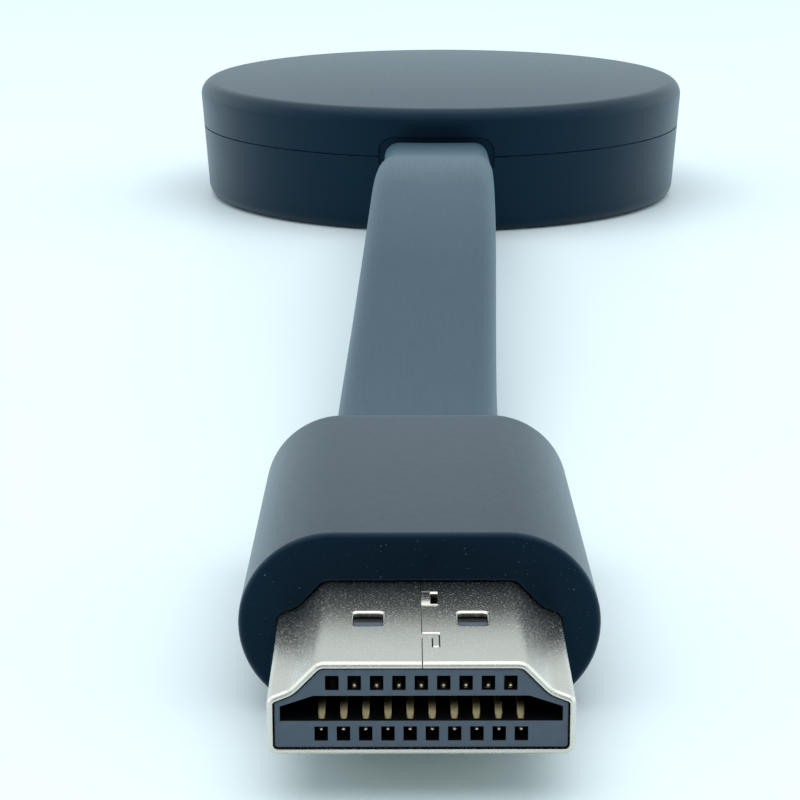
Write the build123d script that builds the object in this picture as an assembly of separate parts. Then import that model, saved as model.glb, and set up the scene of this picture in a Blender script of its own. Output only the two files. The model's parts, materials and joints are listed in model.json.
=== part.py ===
# A wireless display dongle: a round body on a short flat cable with a display plug.
# Millimetres. +Z is up. The origin is the middle of the round body's underside.
# The plug points along -Y and the power inlet is on the +Y side.
import math
import os

from build123d import *

# Round body, outside
disc_radius = 25.95
disc_height = 13.2
crown = 0.8
wall_lean = 4.0
shoulder_radius = 1.5
foot_radius = 1.4
cover_wall = 1.2

# Joint between the two covers, level with the middle of the cable
cable_height = 7.6
parting_height = cable_height
parting_gap = 0.12
lip_height = 1.1
lip_thickness = 0.45
lip_setback = 0.25
lip_clearance = 0.05

# Main board and its screws
board_edge_gap = 2.35
board_radius = disc_radius - cover_wall - board_edge_gap
board_thickness = 1.0
board_top = 5.0
board_front = board_radius - 4.9
boss_radius = 2.2
boss_root = 0.5
board_screw_places = [(15.5, 205), (15.5, 335), (14.0, 90)]
screw_radius = 0.8
screw_head_radius = 1.5
screw_head_height = 0.9
screw_clearance = 0.05
screw_bite = 0.3

# Shield cans, pads and heat spreader
sheet = 0.2
upper_can_size = (24.0, 17.0, 2.0)
upper_can_y = 1.0
lower_can_size = (18.0, 15.0, 1.6)
lower_can_y = -1.0
pad_gap = 0.02
pad_margin = 1.5
upper_pad_thickness = 0.6
spreader_radius = board_radius - 3.4
spreader_front = spreader_radius - 3.0
spreader_thickness = 0.8
spreader_bottom = board_top + upper_can_size[2] + upper_pad_thickness
post_radius = 1.3
post_places = [(15.0, 30), (15.0, 150), (15.0, 270)]

# Chips: width, depth, height, x, y
processor_size = (12.0, 12.0, 1.0, -4.5, 1.0)
memory_size = (8.0, 11.0, 0.9, 6.5, 1.0)
flash_size = (9.0, 7.0, 0.9, -3.5, -2.0)
wireless_size = (5.0, 5.0, 0.8, 5.0, 1.0)
crystal_size = (3.2, 2.5, 0.7, -12.0, 13.0)

# Small board parts: rows of little blocks outside the upper can
chip_part_size = (1.6, 0.8, 0.8)
chip_part_pitch = 2.2
chip_part_rows = 5
chip_part_gap = 2.0
coil_size = (3.0, 3.0, 1.4)
coil_x = 7.5
coil_y = 15.0

# Antennas, bent from sheet
antenna_length = 11.0
antenna_height = 4.0
antenna_foot = 1.4
antenna_foot_width = 1.6
antenna_end = 2.5
antenna_foot_inset = 1.0
antenna_x = board_radius - 2.2

# Power inlet
inlet_width = 7.5
inlet_height = 2.5
inlet_depth = 5.0
inlet_sheet = 0.25
inlet_bevel = 0.75
inlet_sink = 0.8
inlet_setback = 0.5
inlet_clearance = 0.15
tongue_width = 4.1
tongue_thickness = 0.6
tongue_length = 3.0
tongue_rise = 0.15
tongue_root = 0.9
inlet_pin_pitch = 0.65
inlet_pin_width = 0.4
inlet_pin_length = 2.4
inlet_pin_thickness = 0.15
inlet_pin_count = 5

# Reset button, on a line out of the middle of the body
button_angle = 22.0
button_radius = 1.3
button_clearance = 0.1
button_proud = 0.35
button_bevel = 0.2
button_flange_radius = 1.9
button_flange_thickness = 0.5
button_flange_gap = 0.3
button_travel = 0.3
button_height = 0.85
switch_width = 4.6
switch_depth = 3.0
switch_height = 1.7
switch_plunger_radius = 0.6
switch_plunger_length = 1.0
switch_bore_clearance = 0.05
plunger_gap = 0.05

# Status light, on the other side of the inlet
light_angle = -22.0
light_pipe_radius = 0.6
light_size = (1.6, 0.8, 1.3)
light_pipe_start = board_radius - 1.5

# Flat cable
cable_width = 10.2
cable_thickness = 2.9
cable_x = -0.8
cable_inner_end = -board_front - 3.0
cable_pocket = 2.0

# Where the cable enters the body
grommet_frame = 0.6
grommet_corner = 1.5
grommet_clearance = 0.05
grommet_flange = 0.6
grommet_flange_thickness = 0.5
grommet_flange_gap = 0.15
grommet_setback = 0.15
clamp_front = cable_inner_end - 1.4
clamp_depth = 1.6
clamp_clearance = 0.1
clamp_top = 1.2
clamp_leg = 3.0
clamp_leg_height = 2.4
clamp_boss_margin = 0.2
clamp_screw_radius = 0.6
clamp_head_radius = 1.1
clamp_head_height = 0.6
socket_size = (9.6, 3.0, 2.0)
socket_inset = 0.7
wire_radius = 0.45
wire_count = 5
wire_pitch = 1.7

# Display plug, a standard size. Distances along it run back from its front rim.
plug_front = -160.0
plug_x = -3.4
plug_width = 13.9
plug_height = 4.45
plug_flat = 9.3
plug_shoulder = 5.91
plug_shoulder_height = 0.92
plug_side_height = 0.5
plug_foot_radius = 0.5
plug_side_radius = 0.45
plug_waist_radius = 1.1
plug_top_radius = 0.75
plug_sheet = 0.28
plug_rim_radius = 0.18
plug_exposed = 10.7
plug_shell_length = 14.0
seam_x = 0.05
latch_spacing = 4.9
latch_width = 1.42
latch_length = 1.9
latch_middle = 5.65
latch_corner = 0.25
latch_lip = 0.09

# The seam's two lock keys, in distances along the plug and across it
kerf = 0.06
hook_near = 1.95
hook_far = 3.75
hook_split = 3.17
hook_width = 0.8
tongue_side = 0.45
vee_size = 0.12
window_near = 7.5
window_far = 9.28
tab_near = 7.95
tab_tilt = 17.0
ridge_radius = 0.05
key_pocket_depth = 0.35
key_pocket_margin = 0.1

# The plug's insulator
insulator_gap = 0.05
insulator_setback = 0.12
insulator_length = 10.6
slot_half_height = 0.6
slot_width = 12.7
slot_flat = 9.7
slot_side_height = 0.09
slot_depth = 8.8
window_width = 0.6
window_height = 0.68
window_height_above = 1.215
front_wall = 0.3
channel_width = 0.46
channel_depth = 8.6

# The plug's contacts
contact_pitch = 1.0
lower_count = 10
upper_count = 9
contact_width = 0.36
contact_thickness = 0.15
contact_tip_start = 0.28
contact_tip_height = 1.16
contact_neck_height = 0.95
contact_crown_start = 2.3
contact_crown_end = 3.6
contact_crown_height = 0.34
contact_bend = 0.7
contact_root = 0.75
contact_root_start = 7.6
contact_tail = 13.2
contact_short_tip = 0.4
contact_tip_width = 0.2
contact_tip_length = 0.3

# Inside the overmould
plug_board_size = (11.8, 4.8, 1.2)
plug_board_start = 12.3
can_sheet = 0.3
can_corner = 0.8
can_width = plug_width + 2 * can_sheet + 0.5
can_height = plug_height + 2 * can_sheet + 0.85
can_start = 11.9
can_length = 14.4
wire_slot_height = 1.6
wire_slot_margin = 0.4

# Overmould
overmold_width = 17.9
overmold_height = 9.4
overmold_length = 24.1
overmold_taper = 0.55
overmold_back_radius = 1.8
overmold_front_radius = 0.35
overmold_opening_gap = 0.08

plug_z = overmold_height / 2
overmold_front = plug_front + plug_exposed
overmold_back = overmold_front + overmold_length

# The cable's route, chosen by hand: out of the plug, up in a low arch and into the body.
cable_route = [
    (plug_x, overmold_back - cable_pocket, plug_z),
    (plug_x, -116.3, plug_z),
    (-2.75, -97.0, 6.5),
    (-1.95, -76.0, 9.7),
    (-1.45, -57.0, 11.4),
    (cable_x, -33.0, cable_height),
    (cable_x, cable_inner_end, cable_height),
]


def polar(radius, angle):
    """A point in plan at a radius and an angle from +X."""
    return radius * math.cos(math.radians(angle)), radius * math.sin(math.radians(angle))


def block(size, x, y, bottom):
    """A block centred in plan on x and y, standing on the height bottom."""
    width, depth, height = size
    return Pos(x, y, bottom + height / 2) * Box(width, depth, height)


def post(radius, x, y, bottom, top):
    """An upright round post."""
    return Pos(x, y, (bottom + top) / 2) * Cylinder(radius, top - bottom)


def slab(outline, front, back, x=0.0, z=0.0):
    """Carries an outline drawn in X and Z along Y, from front to back."""
    place = Plane(origin=(x, back, z), x_dir=(1, 0, 0), z_dir=(0, -1, 0))
    return extrude(place * outline, amount=back - front)


def radial(angle):
    """A frame whose +Y runs outward from the body's axis, turned by angle towards +X."""
    return Rot(0, 0, -angle)


def spoke(radius, angle, inner, outer, height):
    """A round rod that points out of the body's axis, at a height."""
    rod = Rot(-90, 0, 0) * Cylinder(radius, outer - inner)
    return radial(angle) * Pos(0, (inner + outer) / 2, height) * rod


def ring(inner, outer, bottom, top):
    """A flat ring about the body's axis."""
    return post(outer, 0, 0, bottom, top) - post(inner, 0, 0, bottom - 1, top + 1)


# Round body


def body_solid(inset=0.0):
    """The body's outer form, or the same form smaller by inset on every side."""
    lean = math.radians(wall_lean)
    shoulder = shoulder_radius - inset
    foot = foot_radius - inset
    edge_height = disc_height - crown - inset
    centre = Vector(disc_radius - shoulder_radius, disc_height - crown - shoulder_radius)
    outward = Vector(math.cos(lean), -math.sin(lean))
    downward = Vector(-math.sin(lean), -math.cos(lean))
    wall_top = centre + outward * shoulder
    fall = (wall_top.Y + foot_radius * math.sin(lean) - foot_radius) / math.cos(lean)
    fall -= inset * math.tan(lean)
    wall_foot = wall_top + downward * fall
    foot_centre = Vector(wall_foot.X - foot * math.cos(lean), foot_radius)
    wall_foot = foot_centre + outward * foot
    shoulder_mid = centre + Vector(1, 1).normalized() * shoulder
    middle_angle = math.radians(-(90 + wall_lean) / 2)
    foot_mid = foot_centre + Vector(math.cos(middle_angle), math.sin(middle_angle)) * foot
    top = disc_height - inset
    dome_radius = (centre.X**2 + crown**2) / (2 * crown)
    dome_mid = top - dome_radius + math.sqrt(dome_radius**2 - centre.X**2 / 4)
    outline = [
        Line((0, inset), (foot_centre.X, inset)),
        ThreePointArc((foot_centre.X, inset), (foot_mid.X, foot_mid.Y), (wall_foot.X, wall_foot.Y)),
        Line((wall_foot.X, wall_foot.Y), (wall_top.X, wall_top.Y)),
        ThreePointArc((wall_top.X, wall_top.Y), (shoulder_mid.X, shoulder_mid.Y), (centre.X, edge_height)),
        ThreePointArc((centre.X, edge_height), (centre.X / 2, dome_mid), (0, top)),
        Line((0, top), (0, inset)),
    ]
    return revolve(Plane.XZ * make_face(outline), Axis.Z)


def outer_radius(height):
    """Radius of the leaning wall at a height between the foot and the shoulder."""
    lean = math.radians(wall_lean)
    centre_height = disc_height - crown - shoulder_radius
    tangent = disc_radius - shoulder_radius + shoulder_radius / math.cos(lean)
    return tangent - (centre_height - height) * math.tan(lean)


def body_cavity():
    """The room inside: a flat floor, straight leaning walls and a ceiling that rises with the dome."""
    ceiling = disc_height - crown - cover_wall
    sideways = cover_wall / math.cos(math.radians(wall_lean))
    corners = [
        (0, cover_wall),
        (outer_radius(cover_wall) - sideways, cover_wall),
        (outer_radius(ceiling) - sideways, ceiling),
        (0, disc_height - cover_wall),
    ]
    return revolve(Plane.XZ * make_face(Polyline(corners, close=True)), Axis.Z)


def body_shell():
    """The hollow body before it is parted into two covers."""
    return body_solid() - body_cavity()


def grommet_outline(grow=0.0):
    """The frame round the cable, or the same outline larger by grow."""
    edge = 2 * (grommet_frame + grow)
    return RectangleRounded(cable_width + edge, cable_thickness + edge, grommet_corner + grow)


def grommet_flange_front():
    """Y of the flange's front face, just inside the wall's curve at its lowest, widest point."""
    reach = grommet_frame + grommet_flange
    low = cable_height - cable_thickness / 2 - reach
    half = cable_width / 2 + reach + abs(cable_x)
    inner = outer_radius(low) - cover_wall / math.cos(math.radians(wall_lean))
    return grommet_flange_gap - math.sqrt(inner**2 - half**2)


def cable_outline():
    return SlotOverall(cable_width, cable_thickness)


def cable_opening():
    """The cut in the wall that the grommet fills."""
    outline = grommet_outline(grommet_clearance)
    return slab(outline, -disc_radius - 1, grommet_flange_front(), x=cable_x, z=cable_height)


def inlet_outline(grow=0.0):
    """The power inlet's mouth: a flat top and two bevelled lower corners."""
    half = inlet_width / 2 + grow
    up = inlet_height / 2 + grow
    bevel = inlet_bevel
    corners = [(-half, up), (half, up), (half, bevel - up), (half - bevel, -up)]
    corners += [(bevel - half, -up), (-half, bevel - up)]
    return make_face(Polyline(corners, close=True))


def inlet_height_above_base():
    return board_top - inlet_sink + inlet_height / 2


def inlet_front():
    """Y of the inlet's mouth, set back from the wall."""
    return outer_radius(inlet_height_above_base()) - inlet_setback


def inlet_opening():
    outline = inlet_outline(inlet_clearance)
    inner = outer_radius(0) - 2 * cover_wall
    return slab(outline, inner, disc_radius + 1, z=inlet_height_above_base())


def button_bore():
    """The hole in the wall that the reset button runs in."""
    radius = button_radius + button_clearance
    return spoke(radius, button_angle, disc_radius - 3 * cover_wall, disc_radius + 1, control_height())


def light_bore():
    return spoke(light_pipe_radius, light_angle, disc_radius - 3 * cover_wall, disc_radius + 1, control_height())


def control_height():
    """Height of the button's and the light pipe's axes."""
    return board_top + button_height


def wall_openings():
    return [cable_opening(), inlet_opening(), button_bore(), light_bore()]


def lip_inner_radius():
    return outer_radius(parting_height) - cover_wall + lip_setback


def half_space():
    """A block that is wider and taller than the body."""
    return Box(4 * disc_radius, 4 * disc_radius, 2 * disc_height)


def top_cover():
    """The lid: domed top, half the wall, a rebate for the lip and posts on the spreader."""
    above = Pos(0, 0, parting_height + parting_gap + disc_height) * half_space()
    cover = body_shell() & above
    rebate_radius = lip_inner_radius() + lip_thickness + lip_clearance
    rebate_top = parting_height + lip_height + lip_clearance
    cover -= post(rebate_radius, 0, 0, parting_height, rebate_top)
    cover -= wall_openings()
    spreader_top = spreader_bottom + spreader_thickness
    for radius, angle in post_places:
        x, y = polar(radius, angle)
        cover += post(post_radius, x, y, spreader_top, disc_height - crown - cover_wall / 3)
    return cover


def bottom_cover():
    """The tray: floor, lower wall, lip, screw bosses, the cable's cradle and the side openings."""
    below = Pos(0, 0, parting_height - disc_height) * half_space()
    cover = body_shell() & below
    inner = lip_inner_radius()
    cover += ring(inner, inner + lip_thickness, parting_height - cover_wall / 2, parting_height + lip_height)
    floor = cover_wall
    for radius, angle in board_screw_places:
        x, y = polar(radius, angle)
        cover += post(boss_radius, x, y, floor - boss_root, board_top - board_thickness)
    leg_foot = clamp_foot()
    middle = clamp_front + clamp_depth / 2
    for side in (-1, 1):
        cover += post(clamp_boss_radius(), clamp_screw_x(side), middle, floor - boss_root, leg_foot)
    cradle_top = cable_height - cable_thickness / 2 - clamp_clearance
    cradle = (cable_width - cable_thickness, clamp_depth, cradle_top - floor + boss_root)
    cover += block(cradle, cable_x, middle, floor - boss_root)
    cover -= wall_openings()
    cover -= board_screw_holes()
    cover -= clamp_screw_holes()
    return cover


# Board and what is on it


def board_screw_holes():
    holes = []
    for radius, angle in board_screw_places:
        x, y = polar(radius, angle)
        holes.append(post(screw_radius + screw_clearance, x, y, cover_wall, board_top + 1))
    return holes


def main_board():
    """A round board with a straight front edge, a notch for the inlet and its screw holes."""
    bottom = board_top - board_thickness
    board = post(board_radius, 0, 0, bottom, board_top)
    size = 4 * board_radius
    board -= block((size, size, size), 0, -board_front - size / 2, -size / 2)
    notch = inlet_width + 2 * inlet_clearance
    start = inlet_front() - inlet_depth - inlet_clearance
    board -= block((notch, size, size), 0, start + size / 2, -size / 2)
    board -= board_screw_holes()
    return board


def board_screws():
    """Pan-head screws through the board into the tray's bosses."""
    screws = []
    for radius, angle in board_screw_places:
        x, y = polar(radius, angle)
        shank = post(screw_radius, x, y, cover_wall + screw_bite, board_top)
        head = post(screw_head_radius, x, y, board_top, board_top + screw_head_height)
        head = chamfer(head.edges().group_by(Axis.Z)[-1], screw_head_height / 3)
        screws.append(shank + head)
    return Compound(children=screws)


def can(size, y, bottom, mouth_down):
    """A five-sided sheet can, open towards the board."""
    width, depth, height = size
    inner = (width - 2 * sheet, depth - 2 * sheet, height)
    box = block(size, 0, y, bottom)
    box = fillet(box.edges().filter_by(Axis.Z), 3 * sheet)
    shift = -sheet if mouth_down else sheet
    return box - block(inner, 0, y, bottom + shift)


def upper_shield_can():
    return can(upper_can_size, upper_can_y, board_top, True)


def lower_shield_can():
    return can(lower_can_size, lower_can_y, board_top - board_thickness - lower_can_size[2], False)


def chip_above(size):
    width, depth, height, x, y = size
    return block((width, depth, height), x, y, board_top)


def chip_below(size):
    width, depth, height, x, y = size
    return block((width, depth, height), x, y, board_top - board_thickness - height)


def thermal_pads():
    """Soft pads that fill the gaps between chips, cans, spreader and floor."""
    width, depth, height, x, y = processor_size
    under_lid = board_top + upper_can_size[2] - sheet
    chip_top = board_top + height
    rise = under_lid - chip_top - 2 * pad_gap
    first = block((width - pad_margin, depth - pad_margin, rise), x, y, chip_top + pad_gap)
    can_top = board_top + upper_can_size[2]
    rise = spreader_bottom - can_top - 2 * pad_gap
    second = block(pad_over(upper_can_size, rise), 0, upper_can_y, can_top + pad_gap)
    can_foot = board_top - board_thickness - lower_can_size[2]
    drop = can_foot - cover_wall - 2 * pad_gap
    third = block(pad_over(lower_can_size, drop), 0, lower_can_y, cover_wall + pad_gap)
    return Compound(children=[first, second, third])


def pad_over(can_size, thickness):
    """The size of a pad that lies on a can, a margin inside its edges."""
    return can_size[0] - 2 * pad_margin, can_size[1] - 2 * pad_margin, thickness


def heat_spreader():
    """A round aluminium plate that carries the heat out to the lid."""
    top = spreader_bottom + spreader_thickness
    plate = post(spreader_radius, 0, 0, spreader_bottom, top)
    size = 4 * spreader_radius
    plate -= block((size, size, size), 0, -spreader_front - size / 2, -size / 2)
    return chamfer(plate.edges().group_by(Axis.Z)[-1], spreader_thickness / 4)


def board_parts():
    """Capacitors in two rows beside the can, and two coils by the inlet."""
    parts = []
    for side in (-1, 1):
        for place in range(chip_part_rows):
            x = side * (upper_can_size[0] / 2 + chip_part_gap)
            y = upper_can_y + (place - (chip_part_rows - 1) / 2) * chip_part_pitch
            parts.append(block(chip_part_size, x, y, board_top))
        parts.append(block(coil_size, side * coil_x, coil_y, board_top))
    return Compound(children=parts)


def antenna(side):
    """A strip of sheet that stands on the board's edge on two feet."""
    strip = block((sheet, antenna_length, antenna_height), side * antenna_x, 0, board_top)
    opening = (4 * sheet, antenna_length - 2 * antenna_end, antenna_height / 2)
    window = block(opening, side * antenna_x, 0, board_top + antenna_height / 4)
    foot_x = side * (antenna_x - antenna_foot / 2)
    feet = []
    for end in (-1, 1):
        y = end * (antenna_length / 2 - antenna_foot_inset)
        feet.append(block((antenna_foot, antenna_foot_width, sheet), foot_x, y, board_top))
    return (strip - window) + feet


# Power inlet


def power_inlet_shell():
    """The folded sheet round the inlet's mouth, closed at the back."""
    front = inlet_front()
    outer = slab(inlet_outline(), front - inlet_depth, front, z=inlet_height_above_base())
    inner = slab(inlet_outline(-inlet_sheet), front - inlet_depth + inlet_sheet, front + 1, z=inlet_height_above_base())
    return outer - inner


def tongue_bottom():
    return inlet_height_above_base() + tongue_rise


def power_inlet_tongue():
    """The plastic tongue and the block that carries it at the back of the shell."""
    back = inlet_front() - inlet_depth + inlet_sheet
    root = slab(inlet_outline(-inlet_sheet), back, back + tongue_root, z=inlet_height_above_base())
    length = tongue_root + tongue_length
    tongue = block((tongue_width, length, tongue_thickness), 0, back + length / 2, tongue_bottom())
    return root + tongue


def power_inlet_contacts():
    """Flat spring contacts under the tongue."""
    back = inlet_front() - inlet_depth + inlet_sheet + tongue_root
    size = (inlet_pin_width, inlet_pin_length, inlet_pin_thickness)
    pins = []
    for place in range(inlet_pin_count):
        x = (place - (inlet_pin_count - 1) / 2) * inlet_pin_pitch
        pins.append(block(size, x, back + inlet_pin_length / 2, tongue_bottom() - inlet_pin_thickness))
    return Compound(children=pins)


# Reset button and light


def button_back():
    """Radius of the face of the button that presses the plunger."""
    return flange_outer() - button_flange_thickness


def flange_outer():
    return outer_radius(control_height()) - cover_wall - button_flange_gap


def reset_button():
    """A round key with a flange behind the wall that keeps it in."""
    height = control_height()
    face = outer_radius(height) + button_proud
    key = spoke(button_radius, button_angle, button_back(), face, height)
    key = chamfer(key.edges().sort_by_distance(spoke_point(button_angle, face, height))[0], button_bevel)
    flange = spoke(button_flange_radius, button_angle, button_back(), flange_outer(), height)
    return key + flange


def spoke_point(angle, radius, height):
    place = radial(angle) * Pos(0, radius, height)
    return place.position


def plunger_tip():
    return button_back() - plunger_gap


def switch_front():
    """Radius of the switch's front face: the plunger stands out by its travel and a little more."""
    return plunger_tip() - switch_plunger_length


def switch_body():
    """The side-pressed switch, with a bore for its plunger."""
    front = switch_front()
    body = Pos(0, front - switch_depth / 2, board_top + switch_height / 2) * Box(
        switch_width, switch_depth, switch_height
    )
    bore = switch_plunger_radius + switch_bore_clearance
    inner = front - switch_depth / 2
    return radial(button_angle) * body - spoke(bore, button_angle, inner, front + 1, control_height())


def switch_plunger():
    start = switch_front() - switch_depth / 2 + button_travel + plunger_gap
    return spoke(switch_plunger_radius, button_angle, start, plunger_tip(), control_height())


def status_light():
    width, depth, height = light_size
    lamp = Pos(0, light_pipe_start - pad_gap - depth / 2, board_top + height / 2) * Box(width, depth, height)
    return radial(light_angle) * lamp


def light_pipe():
    """A clear rod from the lamp to the outside of the wall."""
    end = outer_radius(control_height())
    return spoke(light_pipe_radius, light_angle, light_pipe_start, end, control_height())


# Cable


def cable_path():
    """Straight runs joined by arcs, each as large as its two runs allow."""
    points = [Vector(*point) for point in cable_route]
    radii = []
    for before, here, after in zip(points, points[1:], points[2:]):
        turn = (here - before).get_angle(after - here)
        run = min((here - before).length, (after - here).length)
        radii.append(0.45 * run / math.tan(math.radians(turn / 2)))
    print("cable radii", [round(radius, 1) for radius in radii])
    return FilletPolyline(points, radius=radii)


def ribbon_cable():
    path = cable_path()
    start = Plane(origin=cable_route[0], x_dir=(1, 0, 0), z_dir=(0, 1, 0))
    cable = sweep(start * cable_outline(), path=path)
    expected = cable_outline().area * path.length
    print("cable volume", round(cable.volume, 1), "section by length", round(expected, 1))
    print("cable length", round(path.length, 1))
    return cable


def cable_grommet():
    """The soft frame round the cable in the wall, trimmed to the wall's curve."""
    front = grommet_flange_front()
    back = front + grommet_flange_thickness
    body = slab(grommet_outline(), -disc_radius, front, x=cable_x, z=cable_height)
    body &= body_solid(grommet_setback)
    flange = slab(grommet_outline(grommet_flange), front, back, x=cable_x, z=cable_height)
    hole = slab(cable_outline(), -disc_radius - 1, back + 1, x=cable_x, z=cable_height)
    return body + flange - hole


def clamp_screw_x(side):
    return cable_x + side * (clamp_outer_half() - clamp_leg / 2)


def clamp_boss_radius():
    return clamp_leg / 2 - clamp_boss_margin


def clamp_underside():
    return cable_height + cable_thickness / 2 + clamp_clearance


def clamp_foot():
    """Height where the clamp's legs stand on their bosses."""
    return clamp_underside() - clamp_leg_height


def clamp_outer_half():
    return cable_width / 2 + clamp_clearance + clamp_leg


def cable_clamp():
    """A bridge over the cable's end that two screws pull down."""
    middle = clamp_front + clamp_depth / 2
    width = 2 * clamp_outer_half()
    bridge = block((width, clamp_depth, clamp_leg_height + clamp_top), cable_x, middle, clamp_foot())
    bridge = fillet(bridge.edges().filter_by(Axis.Y).group_by(Axis.Z)[-1], clamp_top / 2)
    room = (cable_width + 2 * clamp_clearance, 2 * clamp_depth, clamp_leg_height)
    bridge -= block(room, cable_x, middle, clamp_foot())
    return bridge - clamp_screw_holes()


def clamp_screw_holes():
    middle = clamp_front + clamp_depth / 2
    radius = clamp_screw_radius + screw_clearance
    return [post(radius, clamp_screw_x(side), middle, cover_wall, disc_height) for side in (-1, 1)]


def clamp_screws():
    middle = clamp_front + clamp_depth / 2
    top = clamp_underside() + clamp_top
    screws = []
    for side in (-1, 1):
        shank = post(clamp_screw_radius, clamp_screw_x(side), middle, cover_wall + screw_bite, top)
        head = post(clamp_head_radius, clamp_screw_x(side), middle, top, top + clamp_head_height)
        head = chamfer(head.edges().group_by(Axis.Z)[-1], clamp_head_height / 3)
        screws.append(shank + head)
    return Compound(children=screws)


def board_socket():
    """The wires' socket on the board, behind the clamp."""
    return block(socket_size, cable_x, socket_face() + socket_size[1] / 2, board_top)


def socket_face():
    return socket_inset - board_front


def wire_offsets():
    return [(place - (wire_count - 1) / 2) * wire_pitch for place in range(wire_count)]


def wires(points):
    """A flat row of wires, drawn with eight sides, each bent twice along the same line."""
    row = []
    for x in wire_offsets():
        line = Polyline([(x + px, py, pz) for px, py, pz in points])
        start = Plane(origin=line @ 0, x_dir=(1, 0, 0), z_dir=line % 0)
        row.append(sweep(start * RegularPolygon(wire_radius, 8), path=line, transition=Transition.RIGHT))
    return Compound(children=row)


def body_wires():
    """Wires from the cable's end down to the socket."""
    low = board_top + socket_size[2] / 2
    third = (socket_face() - cable_inner_end) / 3
    points = [
        (cable_x, cable_inner_end, cable_height),
        (cable_x, cable_inner_end + third, cable_height),
        (cable_x, socket_face() - third, low),
        (cable_x, socket_face(), low),
    ]
    return wires(points)


# Display plug


def plug_outline():
    """The plug's cross-section: wide below, narrow above, with a stepped slope on each side."""
    half = plug_width / 2
    up = plug_height / 2
    right = [(half, -up), (half, plug_side_height), (plug_shoulder, plug_shoulder_height), (plug_flat / 2, up)]
    left = [(-x, z) for x, z in reversed(right)]
    face = make_face(Polyline(right + left, close=True))
    rows = face.vertices().group_by(Axis.Y)
    foot, side, waist, top = rows
    sketch = fillet(foot, plug_foot_radius)
    for corners, radius in ((side, plug_side_radius), (waist, plug_waist_radius), (top, plug_top_radius)):
        wanted = [sketch.vertices().sort_by_distance(corner)[0] for corner in corners]
        sketch = fillet(wanted, radius)
    return sketch


def plug_slab(outline, front, back):
    """Carries an outline along the plug, between two distances from its rim."""
    return slab(outline, plug_front + front, plug_front + back, x=plug_x, z=plug_z)


def plug_block(width, front, back, low, high, x=0.0):
    """A block in the plug, from its width, distances from the rim and heights from the axis."""
    size = (width, back - front, high - low)
    return block(size, plug_x + x, plug_front + (front + back) / 2, plug_z + low)


def inset_outline(amount):
    return offset(plug_outline(), amount=-amount)


def latch_holes(side):
    """Two latch holes through the narrow side (1) or the wide side (-1), with a bevelled outer lip."""
    outline = RectangleRounded(latch_width, latch_length, latch_corner)
    holes = []
    for half in (-1, 1):
        x = plug_x + half * latch_spacing / 2
        place = Pos(x, plug_front + latch_middle, plug_z + side * plug_height / 2)
        turned = place if side > 0 else place * Rot(180, 0, 0)
        holes.append(extrude(turned * Pos(0, 0, -2 * plug_sheet) * outline, amount=3 * plug_sheet))
        holes.append(extrude(turned * Pos(0, 0, -latch_lip) * outline, amount=2 * latch_lip, taper=-45))
    return holes


def seam_cut(x_start, x_end, near, far):
    """A cut through the narrow side between two places across the plug and two along it."""
    high = plug_height / 2
    width = x_end - x_start
    return plug_block(width, near, far, high - 2 * plug_sheet, high + 1, x=seam_x + (x_start + x_end) / 2)


def vee(x_start, x_end, along):
    """A shallow groove across the plug that bevels both edges of a cut."""
    groove = Rot(45, 0, 0) * Box(x_end - x_start, vee_size, vee_size)
    return Pos(plug_x + seam_x + (x_start + x_end) / 2, plug_front + along, plug_z + plug_height / 2) * groove


def seam_cuts():
    """The folded sheet's butt seam: a hook that holds a tongue, then a window further back."""
    half = kerf / 2
    wide = hook_width + half
    cuts = [
        seam_cut(-half, half, -1, hook_split),
        seam_cut(-half, tongue_side, hook_split, hook_split + kerf),
        seam_cut(tongue_side, tongue_side + kerf, hook_near, hook_split + kerf),
        seam_cut(tongue_side, wide, hook_near, hook_near + kerf),
        seam_cut(wide - kerf, wide, hook_near, hook_far),
        seam_cut(-half, wide, hook_far - kerf, hook_far),
        seam_cut(-half, half, hook_far - kerf, plug_shell_length + 1),
        seam_cut(-half, hook_width, window_near, window_far),
        vee(tongue_side, wide, hook_near + kerf),
        vee(-half, wide, hook_far),
        vee(-half, hook_width, window_far),
    ]
    return cuts


def seam_tab():
    """The tab in the rear window, which slopes down towards the plug's mouth."""
    length = window_far - tab_near
    width = tongue_side
    tab = Rot(tab_tilt, 0, 0) * Pos(0, -length / 2, -plug_sheet / 2) * Box(width, length, plug_sheet)
    return Pos(plug_x + seam_x + width / 2, plug_front + window_far + kerf, plug_z + plug_height / 2) * tab


def seam_ridge():
    """The turned-up edge on the near side of the rear window."""
    rod = Rot(0, 90, 0) * Cylinder(ridge_radius, hook_width)
    return Pos(plug_x + seam_x + hook_width / 2, plug_front + window_near, plug_z + plug_height / 2) * rod


def plug_shell():
    """Sheet folded round the plug, closed by a seam on the narrow side."""
    shell = plug_slab(plug_outline(), 0, plug_shell_length)
    rim = shell.faces().sort_by(Axis.Y)[0].outer_wire().edges()
    shell = fillet(rim, plug_rim_radius)
    shell -= plug_slab(inset_outline(plug_sheet), -1, plug_shell_length + 1)
    shell -= seam_cuts()
    shell -= latch_holes(1) + latch_holes(-1)
    return shell + seam_tab() + seam_ridge()


def slot_outline():
    """The slot for the mating tongue: wide below, with slanted upper corners."""
    half = slot_width / 2
    right = [(half, -slot_half_height), (half, slot_side_height), (slot_flat / 2, slot_half_height)]
    left = [(-x, z) for x, z in reversed(right)]
    return make_face(Polyline(right + left, close=True))


def contact_places(count):
    return [(place - (count - 1) / 2) * contact_pitch for place in range(count)]


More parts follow.
